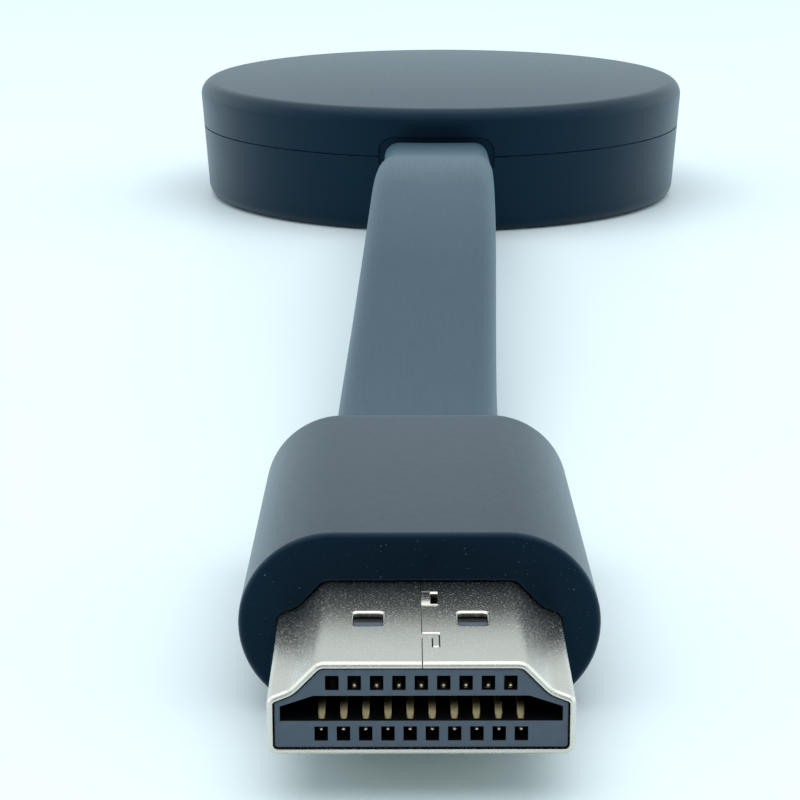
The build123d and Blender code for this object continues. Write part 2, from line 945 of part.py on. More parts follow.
def insulator_cuts(count, side):
    """Windows in the front wall and the channels behind them, below (-1) or above (1) the slot."""
    cuts = []
    middle = side * window_height_above
    low, high = middle - window_height / 2, middle + window_height / 2
    inner = sorted((side * (slot_half_height - 0.1), middle))
    for x in contact_places(count):
        cuts.append(plug_block(window_width, -1, channel_depth, low, high, x=x))
        start = insulator_setback + front_wall
        cuts.append(plug_block(channel_width, start, channel_depth, inner[0], inner[1], x=x))
        root = sorted((side * (contact_root - contact_thickness), side * (contact_root + contact_thickness)))
        cuts.append(plug_block(channel_width, channel_depth - 1, insulator_length + 1, root[0], root[1], x=x))
    return cuts


def plug_insulator():
    """The plastic block with the slot, a window for each contact and a pocket under the rear key."""
    outline = inset_outline(plug_sheet + insulator_gap)
    body = plug_slab(outline, insulator_setback, insulator_length)
    body -= plug_slab(slot_outline(), -1, slot_depth)
    top = plug_height / 2 - plug_sheet
    margin = key_pocket_margin
    width = hook_width + 2 * margin
    middle = seam_x + hook_width / 2
    body -= plug_block(width, window_near - margin, window_far + margin, top - key_pocket_depth, top, x=middle)
    body -= insulator_cuts(lower_count, -1)
    body -= insulator_cuts(upper_count, 1)
    return body


def contact_line(side, short=0.0):
    """A contact's centre line: a folded tip, a slope up to the crown, then the root and the tail."""
    bend = contact_bend
    corners = [
        (contact_tip_start + short, contact_tip_height),
        (contact_tip_start + short, contact_neck_height),
        (bend, contact_neck_height),
        (bend + contact_thickness, slot_half_height),
        (contact_crown_start, contact_crown_height),
        (contact_crown_end, contact_crown_height),
        (contact_root_start, contact_root),
        (contact_tail, contact_root),
    ]
    return Polyline([(plug_front + place, plug_z + side * height) for place, height in corners])


def tip_sides(x, end):
    """Two blocks that cut a contact at x down to the width of its tip, up to a distance from the rim."""
    room = contact_width
    middle = (contact_tip_width + room) / 2
    high = plug_height / 2
    return [plug_block(room, 0, end, -high, high, x=x + half * middle) for half in (-1, 1)]


def plug_contacts(count, side, short=0.0):
    """A row of flat spring contacts, each bent from one strip. The left one's tip may be shorter."""
    row = []
    for place, x in enumerate(contact_places(count)):
        shift = short if place == 0 else 0.0
        plane = Plane.YZ.offset(plug_x + x)
        line = contact_line(side, shift)
        strip = extrude(plane * trace(line, contact_thickness), amount=contact_width / 2, both=True)
        row.append(strip - tip_sides(x, contact_tip_start + shift + contact_tip_length))
    return Compound(children=row)


def plug_board():
    """The small board that the contacts' tails straddle."""
    width, length, height = plug_board_size
    return plug_block(width, plug_board_start, plug_board_start + length, -height / 2, height / 2)


def can_outline(inset=0.0):
    return RectangleRounded(can_width - 2 * inset, can_height - 2 * inset, can_corner - inset)


def plug_shield_can():
    """A sheet box round the back of the shell and the small board, with a slot for the wires."""
    end = can_start + can_length
    outer = plug_slab(can_outline(), can_start, end)
    inner = plug_slab(can_outline(can_sheet), can_start - 1, end - can_sheet)
    return outer - inner - wire_slot()


def wire_slot_width():
    return wire_count * wire_pitch + wire_slot_margin


def wire_slot():
    """Room for the wires between the can and the cable's end."""
    half = wire_slot_height / 2
    end = overmold_back - cable_pocket - plug_front
    return plug_block(wire_slot_width(), can_start + can_length - 2, end, -half, half)


def plug_wires():
    """Wires from the small board back to the cable's end."""
    end = overmold_back - cable_pocket
    lift = plug_z + plug_board_size[2] / 2 + wire_radius
    board_end = plug_front + plug_board_start + plug_board_size[1]
    points = [
        (plug_x, board_end - 1.6, lift),
        (plug_x, board_end + 1.5, lift),
        (plug_x, board_end + 4.5, plug_z),
        (plug_x, end, plug_z),
    ]
    return wires(points)


def plug_overmold():
    """The soft grip: a rounded bar, a little narrower at the back, moulded round the can."""
    face = SlotOverall(overmold_width, overmold_height)
    front = Plane(origin=(plug_x, overmold_front, plug_z), x_dir=(-1, 0, 0), z_dir=(0, 1, 0))
    grip = extrude(front * face, amount=overmold_length, taper=overmold_taper)
    back_edges = grip.faces().sort_by(Axis.Y)[-1].edges()
    grip = fillet(back_edges, overmold_back_radius)
    front_edges = grip.faces().sort_by(Axis.Y)[0].edges()
    grip = fillet(front_edges, overmold_front_radius)
    opening = offset(plug_outline(), amount=overmold_opening_gap)
    grip -= plug_slab(opening, plug_exposed - 1, can_start)
    grip -= plug_slab(can_outline(), can_start, can_start + can_length)
    grip -= wire_slot()
    pocket = slab(cable_outline(), overmold_back - cable_pocket, overmold_back + 1, x=plug_x, z=plug_z)
    return grip - pocket


nodes = {
    "top_cover": top_cover,
    "bottom_cover": bottom_cover,
    "main_board": main_board,
    "board_screws": board_screws,
    "upper_shield_can": upper_shield_can,
    "lower_shield_can": lower_shield_can,
    "heat_spreader": heat_spreader,
    "thermal_pads": thermal_pads,
    "processor_chip": lambda: chip_above(processor_size),
    "memory_chip": lambda: chip_above(memory_size),
    "flash_chip": lambda: chip_below(flash_size),
    "wireless_chip": lambda: chip_below(wireless_size),
    "crystal": lambda: chip_above(crystal_size),
    "board_parts": board_parts,
    "left_antenna": lambda: antenna(-1),
    "right_antenna": lambda: antenna(1),
    "power_inlet_shell": power_inlet_shell,
    "power_inlet_tongue": power_inlet_tongue,
    "power_inlet_contacts": power_inlet_contacts,
    "reset_button": reset_button,
    "switch_body": switch_body,
    "switch_plunger": switch_plunger,
    "status_light": status_light,
    "light_pipe": light_pipe,
    "cable_grommet": cable_grommet,
    "cable_clamp": cable_clamp,
    "clamp_screws": clamp_screws,
    "board_socket": board_socket,
    "body_wires": body_wires,
    "ribbon_cable": ribbon_cable,
    "plug_overmold": plug_overmold,
    "plug_shell": plug_shell,
    "plug_insulator": plug_insulator,
    "plug_contacts_lower": lambda: plug_contacts(lower_count, -1),
    "plug_contacts_upper": lambda: plug_contacts(upper_count, 1, contact_short_tip),
    "plug_board": plug_board,
    "plug_shield_can": plug_shield_can,
    "plug_wires": plug_wires,
}

os.makedirs("parts", exist_ok=True)
for name, make in nodes.items():
    export_step(make(), os.path.join("parts", name + ".step"))
print("nodes", len(nodes))
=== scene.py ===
# %% [markdown]
# # A wireless display dongle
#
# A round receiver hangs on a short flat cable that ends in a display plug. This lesson dresses
# a finished engineering model of it: the model gives every size and place, and here each
# surface gets its shape up close, its material and its light.

# %% Load the engineering model
import json
import math

import bmesh
import bpy
import numpy as np
from mathutils import Matrix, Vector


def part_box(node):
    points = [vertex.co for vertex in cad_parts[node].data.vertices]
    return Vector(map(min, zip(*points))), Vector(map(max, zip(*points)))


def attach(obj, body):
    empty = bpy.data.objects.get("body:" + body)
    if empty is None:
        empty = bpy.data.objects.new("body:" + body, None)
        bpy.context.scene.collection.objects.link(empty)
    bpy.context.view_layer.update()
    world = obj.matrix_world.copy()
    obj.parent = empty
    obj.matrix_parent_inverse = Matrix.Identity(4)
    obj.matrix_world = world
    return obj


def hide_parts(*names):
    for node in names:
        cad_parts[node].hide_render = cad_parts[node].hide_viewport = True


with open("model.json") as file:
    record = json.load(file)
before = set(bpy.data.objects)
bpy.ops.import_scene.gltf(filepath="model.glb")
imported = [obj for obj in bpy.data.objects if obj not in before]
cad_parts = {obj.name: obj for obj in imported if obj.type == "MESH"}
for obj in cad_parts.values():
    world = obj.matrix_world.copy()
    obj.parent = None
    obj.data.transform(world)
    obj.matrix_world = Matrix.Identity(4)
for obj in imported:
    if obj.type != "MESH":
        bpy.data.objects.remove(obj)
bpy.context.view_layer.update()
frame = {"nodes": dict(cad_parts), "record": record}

MM = 0.001

# %% [markdown]
# ## The camera
#
# The photograph looks along the cable from just above the plug. Its perspective is strong, so
# the lens and the place of the camera come from real sizes: the plug's contact windows are
# 1 mm apart, and that fixes how far away they are.

# %% Place the camera
SENSOR = 36.0
PIXELS = 800
FOCAL_PIXELS = 2381.0
CAMERA_PLACE = (-4.23 * MM, -259.3 * MM, 45.8 * MM)
PITCH_DOWN = math.radians(15.08)
YAW = math.radians(0.056)
ROLL = math.radians(-0.12)


def add_camera():
    """Looks along +Y, turned by yaw, tipped down and rolled about its own view."""
    data = bpy.data.cameras.new("camera")
    data.sensor_width = SENSOR
    data.lens = SENSOR * FOCAL_PIXELS / PIXELS
    data.clip_start = 5 * MM
    camera = bpy.data.objects.new("camera", data)
    tilt = Matrix.Rotation(math.pi / 2 - PITCH_DOWN, 4, "X")
    turn = Matrix.Rotation(YAW, 4, "Z") @ tilt @ Matrix.Rotation(ROLL, 4, "Z")
    camera.matrix_world = Matrix.Translation(CAMERA_PLACE) @ turn
    bpy.context.scene.collection.objects.link(camera)
    bpy.context.scene.camera = camera
    return camera


print("lens in mm", round(add_camera().data.lens, 2))

# %% [markdown]
# ## Helpers for colours and nodes
#
# A colour on a screen is stored with a curve, sRGB, but light adds up in straight numbers.
# Each hex colour below is what the eye sees, and one function takes the curve out.
# A second small function adds a shader node, so that a material reads as a list of steps.
#
# Patterns are sized in real millimetres: a noise with a scale of PER_MM / 4 has lumps about
# 4 mm across. Most of a noise lies between 0.3 and 0.7, so that range is what is spread
# between the two ends of a roughness.

# %% Colours and nodes
PER_MM = 1 / MM
MOST_NOISE = {"From Min": 0.3, "From Max": 0.7}


def linear(hex_colour):
    """Takes an sRGB hex colour to linear red, green, blue and a solid alpha."""
    parts = np.array([int(hex_colour[place : place + 2], 16) for place in (1, 3, 5)]) / 255
    straight = np.where(parts <= 0.04045, parts / 12.92, ((parts + 0.055) / 1.055) ** 2.4)
    return (*straight.tolist(), 1.0)


def add(tree, kind, inputs=None, **settings):
    """Adds a node, sets its properties, and links or sets each of its inputs.

    The kind is Blender's class name without ShaderNode in front. A node that is given as an
    input stands for its first output.
    """
    node = tree.nodes.new("ShaderNode" + kind)
    for name, value in settings.items():
        setattr(node, name, value)
    for name, value in (inputs or {}).items():
        source = value.outputs[0] if isinstance(value, bpy.types.Node) else value
        if isinstance(source, bpy.types.NodeSocket):
            tree.links.new(source, node.inputs[name])
        else:
            node.inputs[name].default_value = source
    return node


def new_material(name):
    """An empty material with its tree and its place coordinates in metres."""
    material = bpy.data.materials.new(name)
    material.use_nodes = True
    tree = material.node_tree
    tree.nodes.clear()
    place = add(tree, "TexCoord").outputs["Object"]
    return material, tree, place


print("charcoal in straight light", [round(value, 3) for value in linear("#2c3a44")])

# %% [markdown]
# ## Moulded plastics
#
# The body and the grip are a hard plastic, polycarbonate with ABS, moulded in a steel tool
# whose surface was eaten by sparks. That leaves a fine even grain, which spreads highlights
# and makes the plastic look dusty and pale at a low angle, and almost black from in front.
# A low index of refraction gives that contrast, and a blue tint on the reflection keeps it
# from looking grey. The grain is really about 0.03 mm, and is drawn four times coarser so
# that it shows. The grip has been handled, and a few pale specks of dust cling to it.

# %% A spark-grained plastic
GRAIN = 0.12
DUST_COLOUR = "#b8c8cf"


def moulded_plastic(name, dark, light, roughness=0.36, depth=0.0015, ior=1.42, dust=0.0):
    """Mottled colour, roughness that varies a little, and a fine grain over slow waves.

    Depth is the grain's, in mm. Dust is the share of a pale colour in a few scattered specks.
    """
    material, tree, place = new_material(name)
    cloud = add(tree, "TexNoise", {"Vector": place, "Scale": PER_MM / 4})
    mottle = {"Factor": cloud, "A": linear(dark), "B": linear(light)}
    mottle = add(tree, "Mix", mottle, data_type="RGBA").outputs["Result"]
    specks = add(tree, "TexNoise", {"Vector": place, "Scale": PER_MM / 0.13})
    specks = {"Value": specks, "From Min": 0.72, "From Max": 0.78, "To Max": dust}
    specks = add(tree, "MapRange", specks)
    dusty = {"Factor": specks, "A": mottle, "B": linear(DUST_COLOUR)}
    patches = {"Vector": place, "Scale": PER_MM / 0.5, "Detail": 4.0}
    patches = add(tree, "TexNoise", patches)
    limits = {**MOST_NOISE, "To Min": roughness - 0.015, "To Max": roughness + 0.015}
    waves = {"Vector": place, "Scale": PER_MM / 6, "Detail": 1.0}
    waves = add(tree, "TexNoise", waves)
    waves = add(tree, "Bump", {"Height": waves, "Distance": 0.0006 * MM})
    grain = {"Vector": place, "Scale": PER_MM / GRAIN, "Detail": 3.0}
    grain = add(tree, "TexNoise", grain)
    grain = {"Height": grain, "Distance": depth * MM, "Normal": waves}
    inputs = {
        "Base Color": add(tree, "Mix", dusty, data_type="RGBA").outputs["Result"],
        "Roughness": add(tree, "MapRange", {"Value": patches, **limits}),
        "IOR": ior,
        "Specular Tint": linear("#5f93b8"),
        "Sheen Weight": 0.12,
        "Sheen Roughness": 0.4,
        "Sheen Tint": linear("#95e2ff"),
        "Normal": add(tree, "Bump", grain),
    }
    shader = add(tree, "BsdfPrincipled", inputs)
    add(tree, "OutputMaterial", {"Surface": shader})
    return material


print("grain drawn in mm", GRAIN)

# %% [markdown]
# The small plastic parts come from smoother tools and shine more. The plug's contact block is
# plain nylon too, but its windows and latch pockets are sunk far in and let no light out again.
# The photograph shows them near black, so that shade is painted into the block's colour: it
# turns near black just behind its face.

# %% Plain plastics
# In mm: how soon the painted shade is full behind the block's face, and where it starts away from
# the axis.
SHADE_WITHIN = 0.03
LEVEL_FROM = 1.88
LEVEL_FULL = 1.893


def plain_plastic(name, dark, light, roughness=0.4):
    """Plain glossy plastic from a smoother tool, with slow waves and faint grain."""
    material, tree, place = new_material(name)
    cloud = add(tree, "TexNoise", {"Vector": place, "Scale": PER_MM / 4})
    mottle = {"Factor": cloud, "A": linear(dark), "B": linear(light)}
    patches = {"Vector": place, "Scale": PER_MM / 1.3, "Detail": 4.0}
    patches = add(tree, "TexNoise", patches)
    limits = {**MOST_NOISE, "To Min": roughness - 0.04, "To Max": roughness + 0.04}
    grit = {"Vector": place, "Scale": PER_MM / 0.3, "Detail": 3.0}
    grit = add(tree, "TexNoise", grit)
    grit = add(tree, "Bump", {"Height": grit, "Distance": 0.001 * MM})
    waves = {"Vector": place, "Scale": PER_MM / 3, "Detail": 1.0}
    waves = add(tree, "TexNoise", waves)
    waves = {"Height": waves, "Distance": 0.004 * MM, "Normal": grit}
    inputs = {
        "Base Color": add(tree, "Mix", mottle, data_type="RGBA").outputs["Result"],
        "Roughness": add(tree, "MapRange", {"Value": patches, **limits}),
        "Normal": add(tree, "Bump", waves),
    }
    shader = add(tree, "BsdfPrincipled", inputs)
    add(tree, "OutputMaterial", {"Surface": shader})
    return material


def nylon_with_painted_shade(name, dark, light, painted_shade_colour, face, pocket, axis_height):
    """Plain nylon with painted shade: its colour turns near black behind its face.

    The places are in mm along Y. Near the plug's axis the painted shade starts at the face, and
    is full SHADE_WITHIN behind it. On the level top and underside, from LEVEL_FROM to
    LEVEL_FULL away from the axis, the start moves back to the latch pockets. The painted shade
    stands for the shade in the windows, the slot and the latch pockets.
    """
    material, tree, place = new_material(name)
    parts = add(tree, "SeparateXYZ", {"Vector": place}).outputs
    away = {0: parts["Z"], 1: axis_height * MM}
    away = add(tree, "Math", away, operation="SUBTRACT")
    away = add(tree, "Math", {0: away}, operation="ABSOLUTE")
    limits = {"From Min": LEVEL_FROM * MM, "From Max": LEVEL_FULL * MM}
    start = {"Value": away, **limits, "To Min": face * MM, "To Max": pocket * MM}
    start = add(tree, "MapRange", start)
    # Painted shade: the colour falls to the shade colour with depth behind the face.
    depth = add(tree, "Math", {0: parts["Y"], 1: start}, operation="SUBTRACT")
    depth = add(tree, "MapRange", {"Value": depth, "From Max": SHADE_WITHIN * MM})
    cloud = add(tree, "TexNoise", {"Vector": place, "Scale": PER_MM / 0.5})
    mottle = {"Factor": cloud, "A": linear(dark), "B": linear(light)}
    mottle = add(tree, "Mix", mottle, data_type="RGBA").outputs["Result"]
    shaded = {"Factor": depth, "A": mottle, "B": linear(painted_shade_colour)}
    grit = {"Vector": place, "Scale": PER_MM / 0.2, "Detail": 3.0}
    grit = add(tree, "TexNoise", grit)
    inputs = {
        "Base Color": add(tree, "Mix", shaded, data_type="RGBA").outputs["Result"],
        "Roughness": 0.5,
        "Specular IOR Level": 0.3,
        "Normal": add(tree, "Bump", {"Height": grit, "Distance": 0.001 * MM}),
    }
    shader = add(tree, "BsdfPrincipled", inputs)
    add(tree, "OutputMaterial", {"Surface": shader})
    return material


print("the contact block turns dark within mm", SHADE_WITHIN)

# %% [markdown]
# ## Metals
#
# The plug's shell is steel strip plated with nickel: a warm grey mirror, blurred by the dents
# that the plating copies from the strip. It is sown with fine pits that are rougher than the
# rest. A pit gathers light from all round, so it stays a pale grain where the mirror shows
# something dark. Dents and pits are really under 0.05 mm, and are drawn at 0.13 and 0.11 mm so
# that they show. Gold over nickel on the contacts is thin and soft, and their cut tips are
# bare. Tinned cans and brass antennas are plain rolled sheet, whose marks run along the roll,
# which is why their noise is stretched. Those marks too are drawn about three times coarser.

# %% Rolled and plated metals
ROLLED_ALONG_Y = (1, 0.06, 1)
BARE_TIP = 0.5
GOLD_FROM = 0.6


def plated_metal(name, dark, light):
    """A clean mirror, a little blurred, sown with pits that are matte and so never go dark."""
    material, tree, place = new_material(name)
    cloud = {"Vector": place, "Scale": PER_MM / 1.5, "Detail": 3.0}
    cloud = add(tree, "TexNoise", cloud)
    mottle = {"Factor": cloud, "A": linear(dark), "B": linear(light)}
    pits = add(tree, "TexNoise", {"Vector": place, "Scale": PER_MM / 0.11})
    limits = {"From Min": 0.57, "From Max": 0.7, "To Min": 0.27, "To Max": 0.52}
    dents = {"Vector": place, "Scale": PER_MM / 0.13, "Detail": 3.0}
    dents = add(tree, "TexNoise", dents)
    inputs = {
        "Base Color": add(tree, "Mix", mottle, data_type="RGBA").outputs["Result"],
        "Metallic": 1.0,
        "Roughness": add(tree, "MapRange", {"Value": pits, **limits}),
        "Normal": add(tree, "Bump", {"Height": dents, "Distance": 0.0007 * MM}),
    }
    shader = add(tree, "BsdfPrincipled", inputs)
    add(tree, "OutputMaterial", {"Surface": shader})
    return material


def plated_contact(name, dark, light, tip, rim):
    """Soft gold whose cut tips show bare nickel up to BARE_TIP mm behind the plug's rim."""
    material, tree, place = new_material(name)
    depth = add(tree, "SeparateXYZ", {"Vector": place}).outputs["Y"]
    limits = {"From Min": (rim + BARE_TIP) * MM, "From Max": (rim + GOLD_FROM) * MM}
    gilded = add(tree, "MapRange", {"Value": depth, **limits})
    cloud = {"Vector": place, "Scale": PER_MM / 1.5, "Detail": 3.0}
    cloud = add(tree, "TexNoise", cloud)
    gold = {"Factor": cloud, "A": linear(dark), "B": linear(light)}
    gold = add(tree, "Mix", gold, data_type="RGBA").outputs["Result"]
    plated = {"Factor": gilded, "A": linear(tip), "B": gold}
    marks = add(tree, "Mapping", {"Vector": place, "Scale": ROLLED_ALONG_Y})
    marks = {"Vector": marks, "Scale": PER_MM / 0.08, "Detail": 3.0}
    marks = add(tree, "TexNoise", marks)
    inputs = {
        "Base Color": add(tree, "Mix", plated, data_type="RGBA").outputs["Result"],
        "Metallic": 1.0,
        "Roughness": 0.5,
        "Normal": add(tree, "Bump", {"Height": marks, "Distance": 0.0005 * MM}),
    }
    shader = add(tree, "BsdfPrincipled", inputs)
    add(tree, "OutputMaterial", {"Surface": shader})
    return material


def sheet_metal(name, dark, light, roughness=0.3, along=(1, 1, 1)):
    """A full metal whose roughness and finest dents follow one direction of rolling."""
    material, tree, place = new_material(name)
    cloud = {"Vector": place, "Scale": PER_MM / 1.5, "Detail": 3.0}
    cloud = add(tree, "TexNoise", cloud)
    mottle = {"Factor": cloud, "A": linear(dark), "B": linear(light)}
    marks = add(tree, "Mapping", {"Vector": place, "Scale": along})
    marks = {"Vector": marks, "Scale": PER_MM / 0.08, "Detail": 3.0}
    marks = add(tree, "TexNoise", marks)
    limits = {**MOST_NOISE, "To Min": roughness - 0.06, "To Max": roughness + 0.06}
    dents = {"Vector": place, "Scale": PER_MM / 0.15, "Detail": 4.0}
    dents = add(tree, "TexNoise", dents)
    dents = add(tree, "Bump", {"Height": dents, "Distance": 0.0015 * MM})
    lines = {"Height": marks, "Distance": 0.0005 * MM, "Normal": dents}
    inputs = {
        "Base Color": add(tree, "Mix", mottle, data_type="RGBA").outputs["Result"],
        "Metallic": 1.0,
        "Roughness": add(tree, "MapRange", {"Value": marks, **limits}),
        "Normal": add(tree, "Bump", lines),
    }
    shader = add(tree, "BsdfPrincipled", inputs)
    add(tree, "OutputMaterial", {"Surface": shader})
    return material


print("rolling marks are longer along Y by", round(1 / ROLLED_ALONG_Y[1]))

# %% [markdown]
# ## Rubbers, resins and the circuit board
#
# The cable's jacket is a soft thermoplastic that was pushed through a die, so its faint lines
# run along it. They are drawn at 0.2 mm, about twice as coarse as they are. The heat pads are
# softer and duller. The light pipe is clear acrylic, and the board is glass cloth under a
# green lacquer that shows the copper beneath.

# %% Soft jackets, clear pipes and lacquer
ALONG_CABLE = (1, 0.04, 1)


def soft_rubber(name, dark, light, roughness=0.6, along=(1, 1, 1), depth=0.003, sheen=0.1):
    """A dull surface with drawn lines, depth mm deep, and a soft bloom at low angles."""
    material, tree, place = new_material(name)
    cloud = {"Vector": place, "Scale": PER_MM / 6, "Detail": 3.0}
    cloud = add(tree, "TexNoise", cloud)
    mottle = {"Factor": cloud, "A": linear(dark), "B": linear(light)}
    lines = add(tree, "Mapping", {"Vector": place, "Scale": along})
    lines = {"Vector": lines, "Scale": PER_MM / 0.2, "Detail": 3.0}
    lines = add(tree, "TexNoise", lines)
    limits = {**MOST_NOISE, "To Min": roughness - 0.02, "To Max": roughness + 0.02}
    waves = {"Vector": place, "Scale": PER_MM / 3, "Detail": 1.0}
    waves = add(tree, "TexNoise", waves)
    waves = add(tree, "Bump", {"Height": waves, "Distance": 0.004 * MM})
    drawn = {"Height": lines, "Distance": depth * MM, "Normal": waves}
    inputs = {
        "Base Color": add(tree, "Mix", mottle, data_type="RGBA").outputs["Result"],
        "Roughness": add(tree, "MapRange", {"Value": lines, **limits}),
        "IOR": 1.5,
        "Specular Tint": linear("#93b4c8"),
        "Sheen Weight": sheen,
        "Sheen Roughness": 0.5,
        "Sheen Tint": linear("#b4e6fa"),
        "Normal": add(tree, "Bump", drawn),
    }
    shader = add(tree, "BsdfPrincipled", inputs)
    add(tree, "OutputMaterial", {"Surface": shader})
    return material


def clear_resin(name, colour, transmission=0.9, roughness=0.15):
    """Clear plastic with slow waves left by moulding."""
    material, tree, place = new_material(name)
    cloud = add(tree, "TexNoise", {"Vector": place, "Scale": PER_MM})
    mottle = {"Factor": cloud, "A": linear(colour), "B": linear("#ffffff")}
    waves = {"Vector": place, "Scale": PER_MM / 0.5, "Detail": 1.0}
    waves = add(tree, "TexNoise", waves)
    inputs = {
        "Base Color": add(tree, "Mix", mottle, data_type="RGBA").outputs["Result"],
        "Roughness": roughness,
        "IOR": 1.49,
        "Transmission Weight": transmission,
        "Normal": add(tree, "Bump", {"Height": waves, "Distance": 0.004 * MM}),
    }
    shader = add(tree, "BsdfPrincipled", inputs)
    add(tree, "OutputMaterial", {"Surface": shader})
    return material


def board_lacquer(name):
    """Green lacquer over square patches of copper and the weave of the glass cloth."""
    material, tree, place = new_material(name)
    copper = {"Vector": place, "Scale": PER_MM / 1.2}
    copper = add(tree, "TexVoronoi", copper, distance="CHEBYCHEV")
    patches = add(tree, "MapRange", {"Value": copper, **MOST_NOISE})
    greens = {"Factor": patches, "A": linear("#0d4a2c"), "B": linear("#1c6b40")}
    relief = add(tree, "Bump", {"Height": copper, "Distance": 0.01 * MM})
    weave = {"Vector": place, "Scale": PER_MM / 1.5}
    weave = add(tree, "TexWave", weave).outputs["Fac"]
    weave = {"Height": weave, "Distance": 0.003 * MM, "Normal": relief}
    inputs = {
        "Base Color": add(tree, "Mix", greens, data_type="RGBA").outputs["Result"],
        "Roughness": 0.3,
        "Coat Weight": 0.4,
        "Normal": add(tree, "Bump", weave),
    }
    shader = add(tree, "BsdfPrincipled", inputs)
    add(tree, "OutputMaterial", {"Surface": shader})
    return material


print("the jacket's lines are longer along Y by", round(1 / ALONG_CABLE[1]))

# %% [markdown]
# ## One material for each finish
#
# The engineering model names a finish slot for every part. Each slot gets one material here,
# and then every part that is kept as it is takes the material of its slot. The grommet comes
# from a grained tool like the body, but it is softer and duller. Chips are cast in a filled
# epoxy, which is matt, while the wires' vinyl and the fired ceramic shine more than nylon. The
# places are in mm: along the plug its rim, the front of the contact block and the block's
# latch pockets, and the height of the plug's axis.

# %% Fill the slots
RIM_PLACE = -160
FACE_PLACE = -159.877
POCKET_PLACE = -154.0
AXIS_HEIGHT = 4.7
finishes = {
    "cover_plastic": moulded_plastic(
        "satin_polycarbonate", "#0d1d2a", "#11222f", 0.35, depth=0.0008, ior=1.38
    ),
    "overmold_plastic": moulded_plastic(
        "grip_polycarbonate", "#0a1622", "#0d1b28", 0.34, depth=0.004, dust=0.25
    ),
    "button_plastic": moulded_plastic("button_polycarbonate", "#0a1824", "#0e1d2a"),
    # The contact block's near-black colour is painted shade for its windows, slot and latch
    # pockets.
    "insulator_plastic": nylon_with_painted_shade(
        "slate_nylon_painted_shade", "#46515d", "#515d6a", "#06080c", FACE_PLACE, POCKET_PLACE, AXIS_HEIGHT
    ),
    "inlet_plastic": plain_plastic("black_nylon", "#141414", "#1d1d1d"),
    "clamp_plastic": plain_plastic("black_acetal", "#17181a", "#202124"),
    "switch_plastic": plain_plastic("switch_nylon", "#1a1a1c", "#242427"),
    "plunger_plastic": plain_plastic("ivory_acetal", "#d5d2c4", "#e3e0d3"),
    "socket_plastic": plain_plastic("socket_nylon", "#d8d3c2", "#e6e1d0"),
    "chip_epoxy": plain_plastic("chip_epoxy", "#1c1c1e", "#29292b", 0.55),
    "ceramic_parts": plain_plastic("fired_ceramic", "#7b6044", "#957757", 0.35),
    "wire_insulation": plain_plastic("wire_vinyl", "#8c2a22", "#a5382d", 0.35),
    "plug_nickel": plated_metal("plated_nickel", "#cac6bc", "#d5d2c9"),
    "contact_gold": plated_contact("contact_gold", "#b5a47b", "#c6b68e", "#e8dccb", RIM_PLACE),
    "inlet_steel": sheet_metal("inlet_nickel", "#bcbab2", "#cbc9c2", 0.25, ROLLED_ALONG_Y),
    "can_sheet": sheet_metal("tinned_steel", "#b9bbb9", "#c8cac8", 0.35, ROLLED_ALONG_Y),
    "screw_steel": sheet_metal("zinc_plated_steel", "#a8abac", "#bfc2c3", 0.3),
    "spreader_aluminium": sheet_metal(
        "rolled_aluminium", "#cfd2d4", "#dee1e3", 0.35, ROLLED_ALONG_Y
    ),
    "antenna_brass": sheet_metal("spring_brass", "#b59a5b", "#c8ad6c", 0.3, ROLLED_ALONG_Y),
    "cable_jacket": soft_rubber(
        "cable_elastomer", "#1c2d3b", "#203343", 0.48, ALONG_CABLE, 0.0006, 0.2
    ),
    "soft_rubber": moulded_plastic("grommet_elastomer", "#091420", "#0c1a26", 0.45),
    "pad_silicone": soft_rubber("silicone_pad", "#7e95a3", "#8ca3b0", 0.7),
    "clear_pipe": clear_resin("clear_acrylic", "#eef4f6"),
    "lamp_resin": clear_resin("lamp_epoxy", "#f2ecd0", 0.4, 0.3),
    "circuit_board": board_lacquer("board_lacquer"),
}


def wear(obj, slot):
    """Gives an object the one material of a slot."""
    obj.data.materials.clear()
    obj.data.materials.append(finishes[slot])


def dress_nodes():
    """Every part of the engineering model takes its slot's material."""
    for entry in frame["record"]["subparts"]:
        wear(frame["nodes"][entry["node"]], entry["material_slot"])


dress_nodes()
print("finishes", len(finishes))

# %% [markdown]
# ## Surfaces from rings
#
# The cable and the grip are both a closed outline that travels along a line while it changes
# a little. A stack of rings holds such a form: each row of the array is one outline, and
# neighbouring rows are joined by four-sided faces. Numpy works out all points at once.

# %% Outlines and ring surfaces
ARC_POINTS = 17
NEARLY_ALL = 0.9999


def resampled(points, count):
    """Evenly spaced points on a closed line, found by its length so far and interpolation."""
    closed = np.vstack([points, points[:1]])
    steps = np.linalg.norm(np.diff(closed, axis=0), axis=1)
    length = np.concatenate([[0], np.cumsum(steps)])
    wanted = np.linspace(0, length[-1], count, endpoint=False)
    return np.column_stack([np.interp(wanted, length, closed[:, axis]) for axis in (0, 1)])


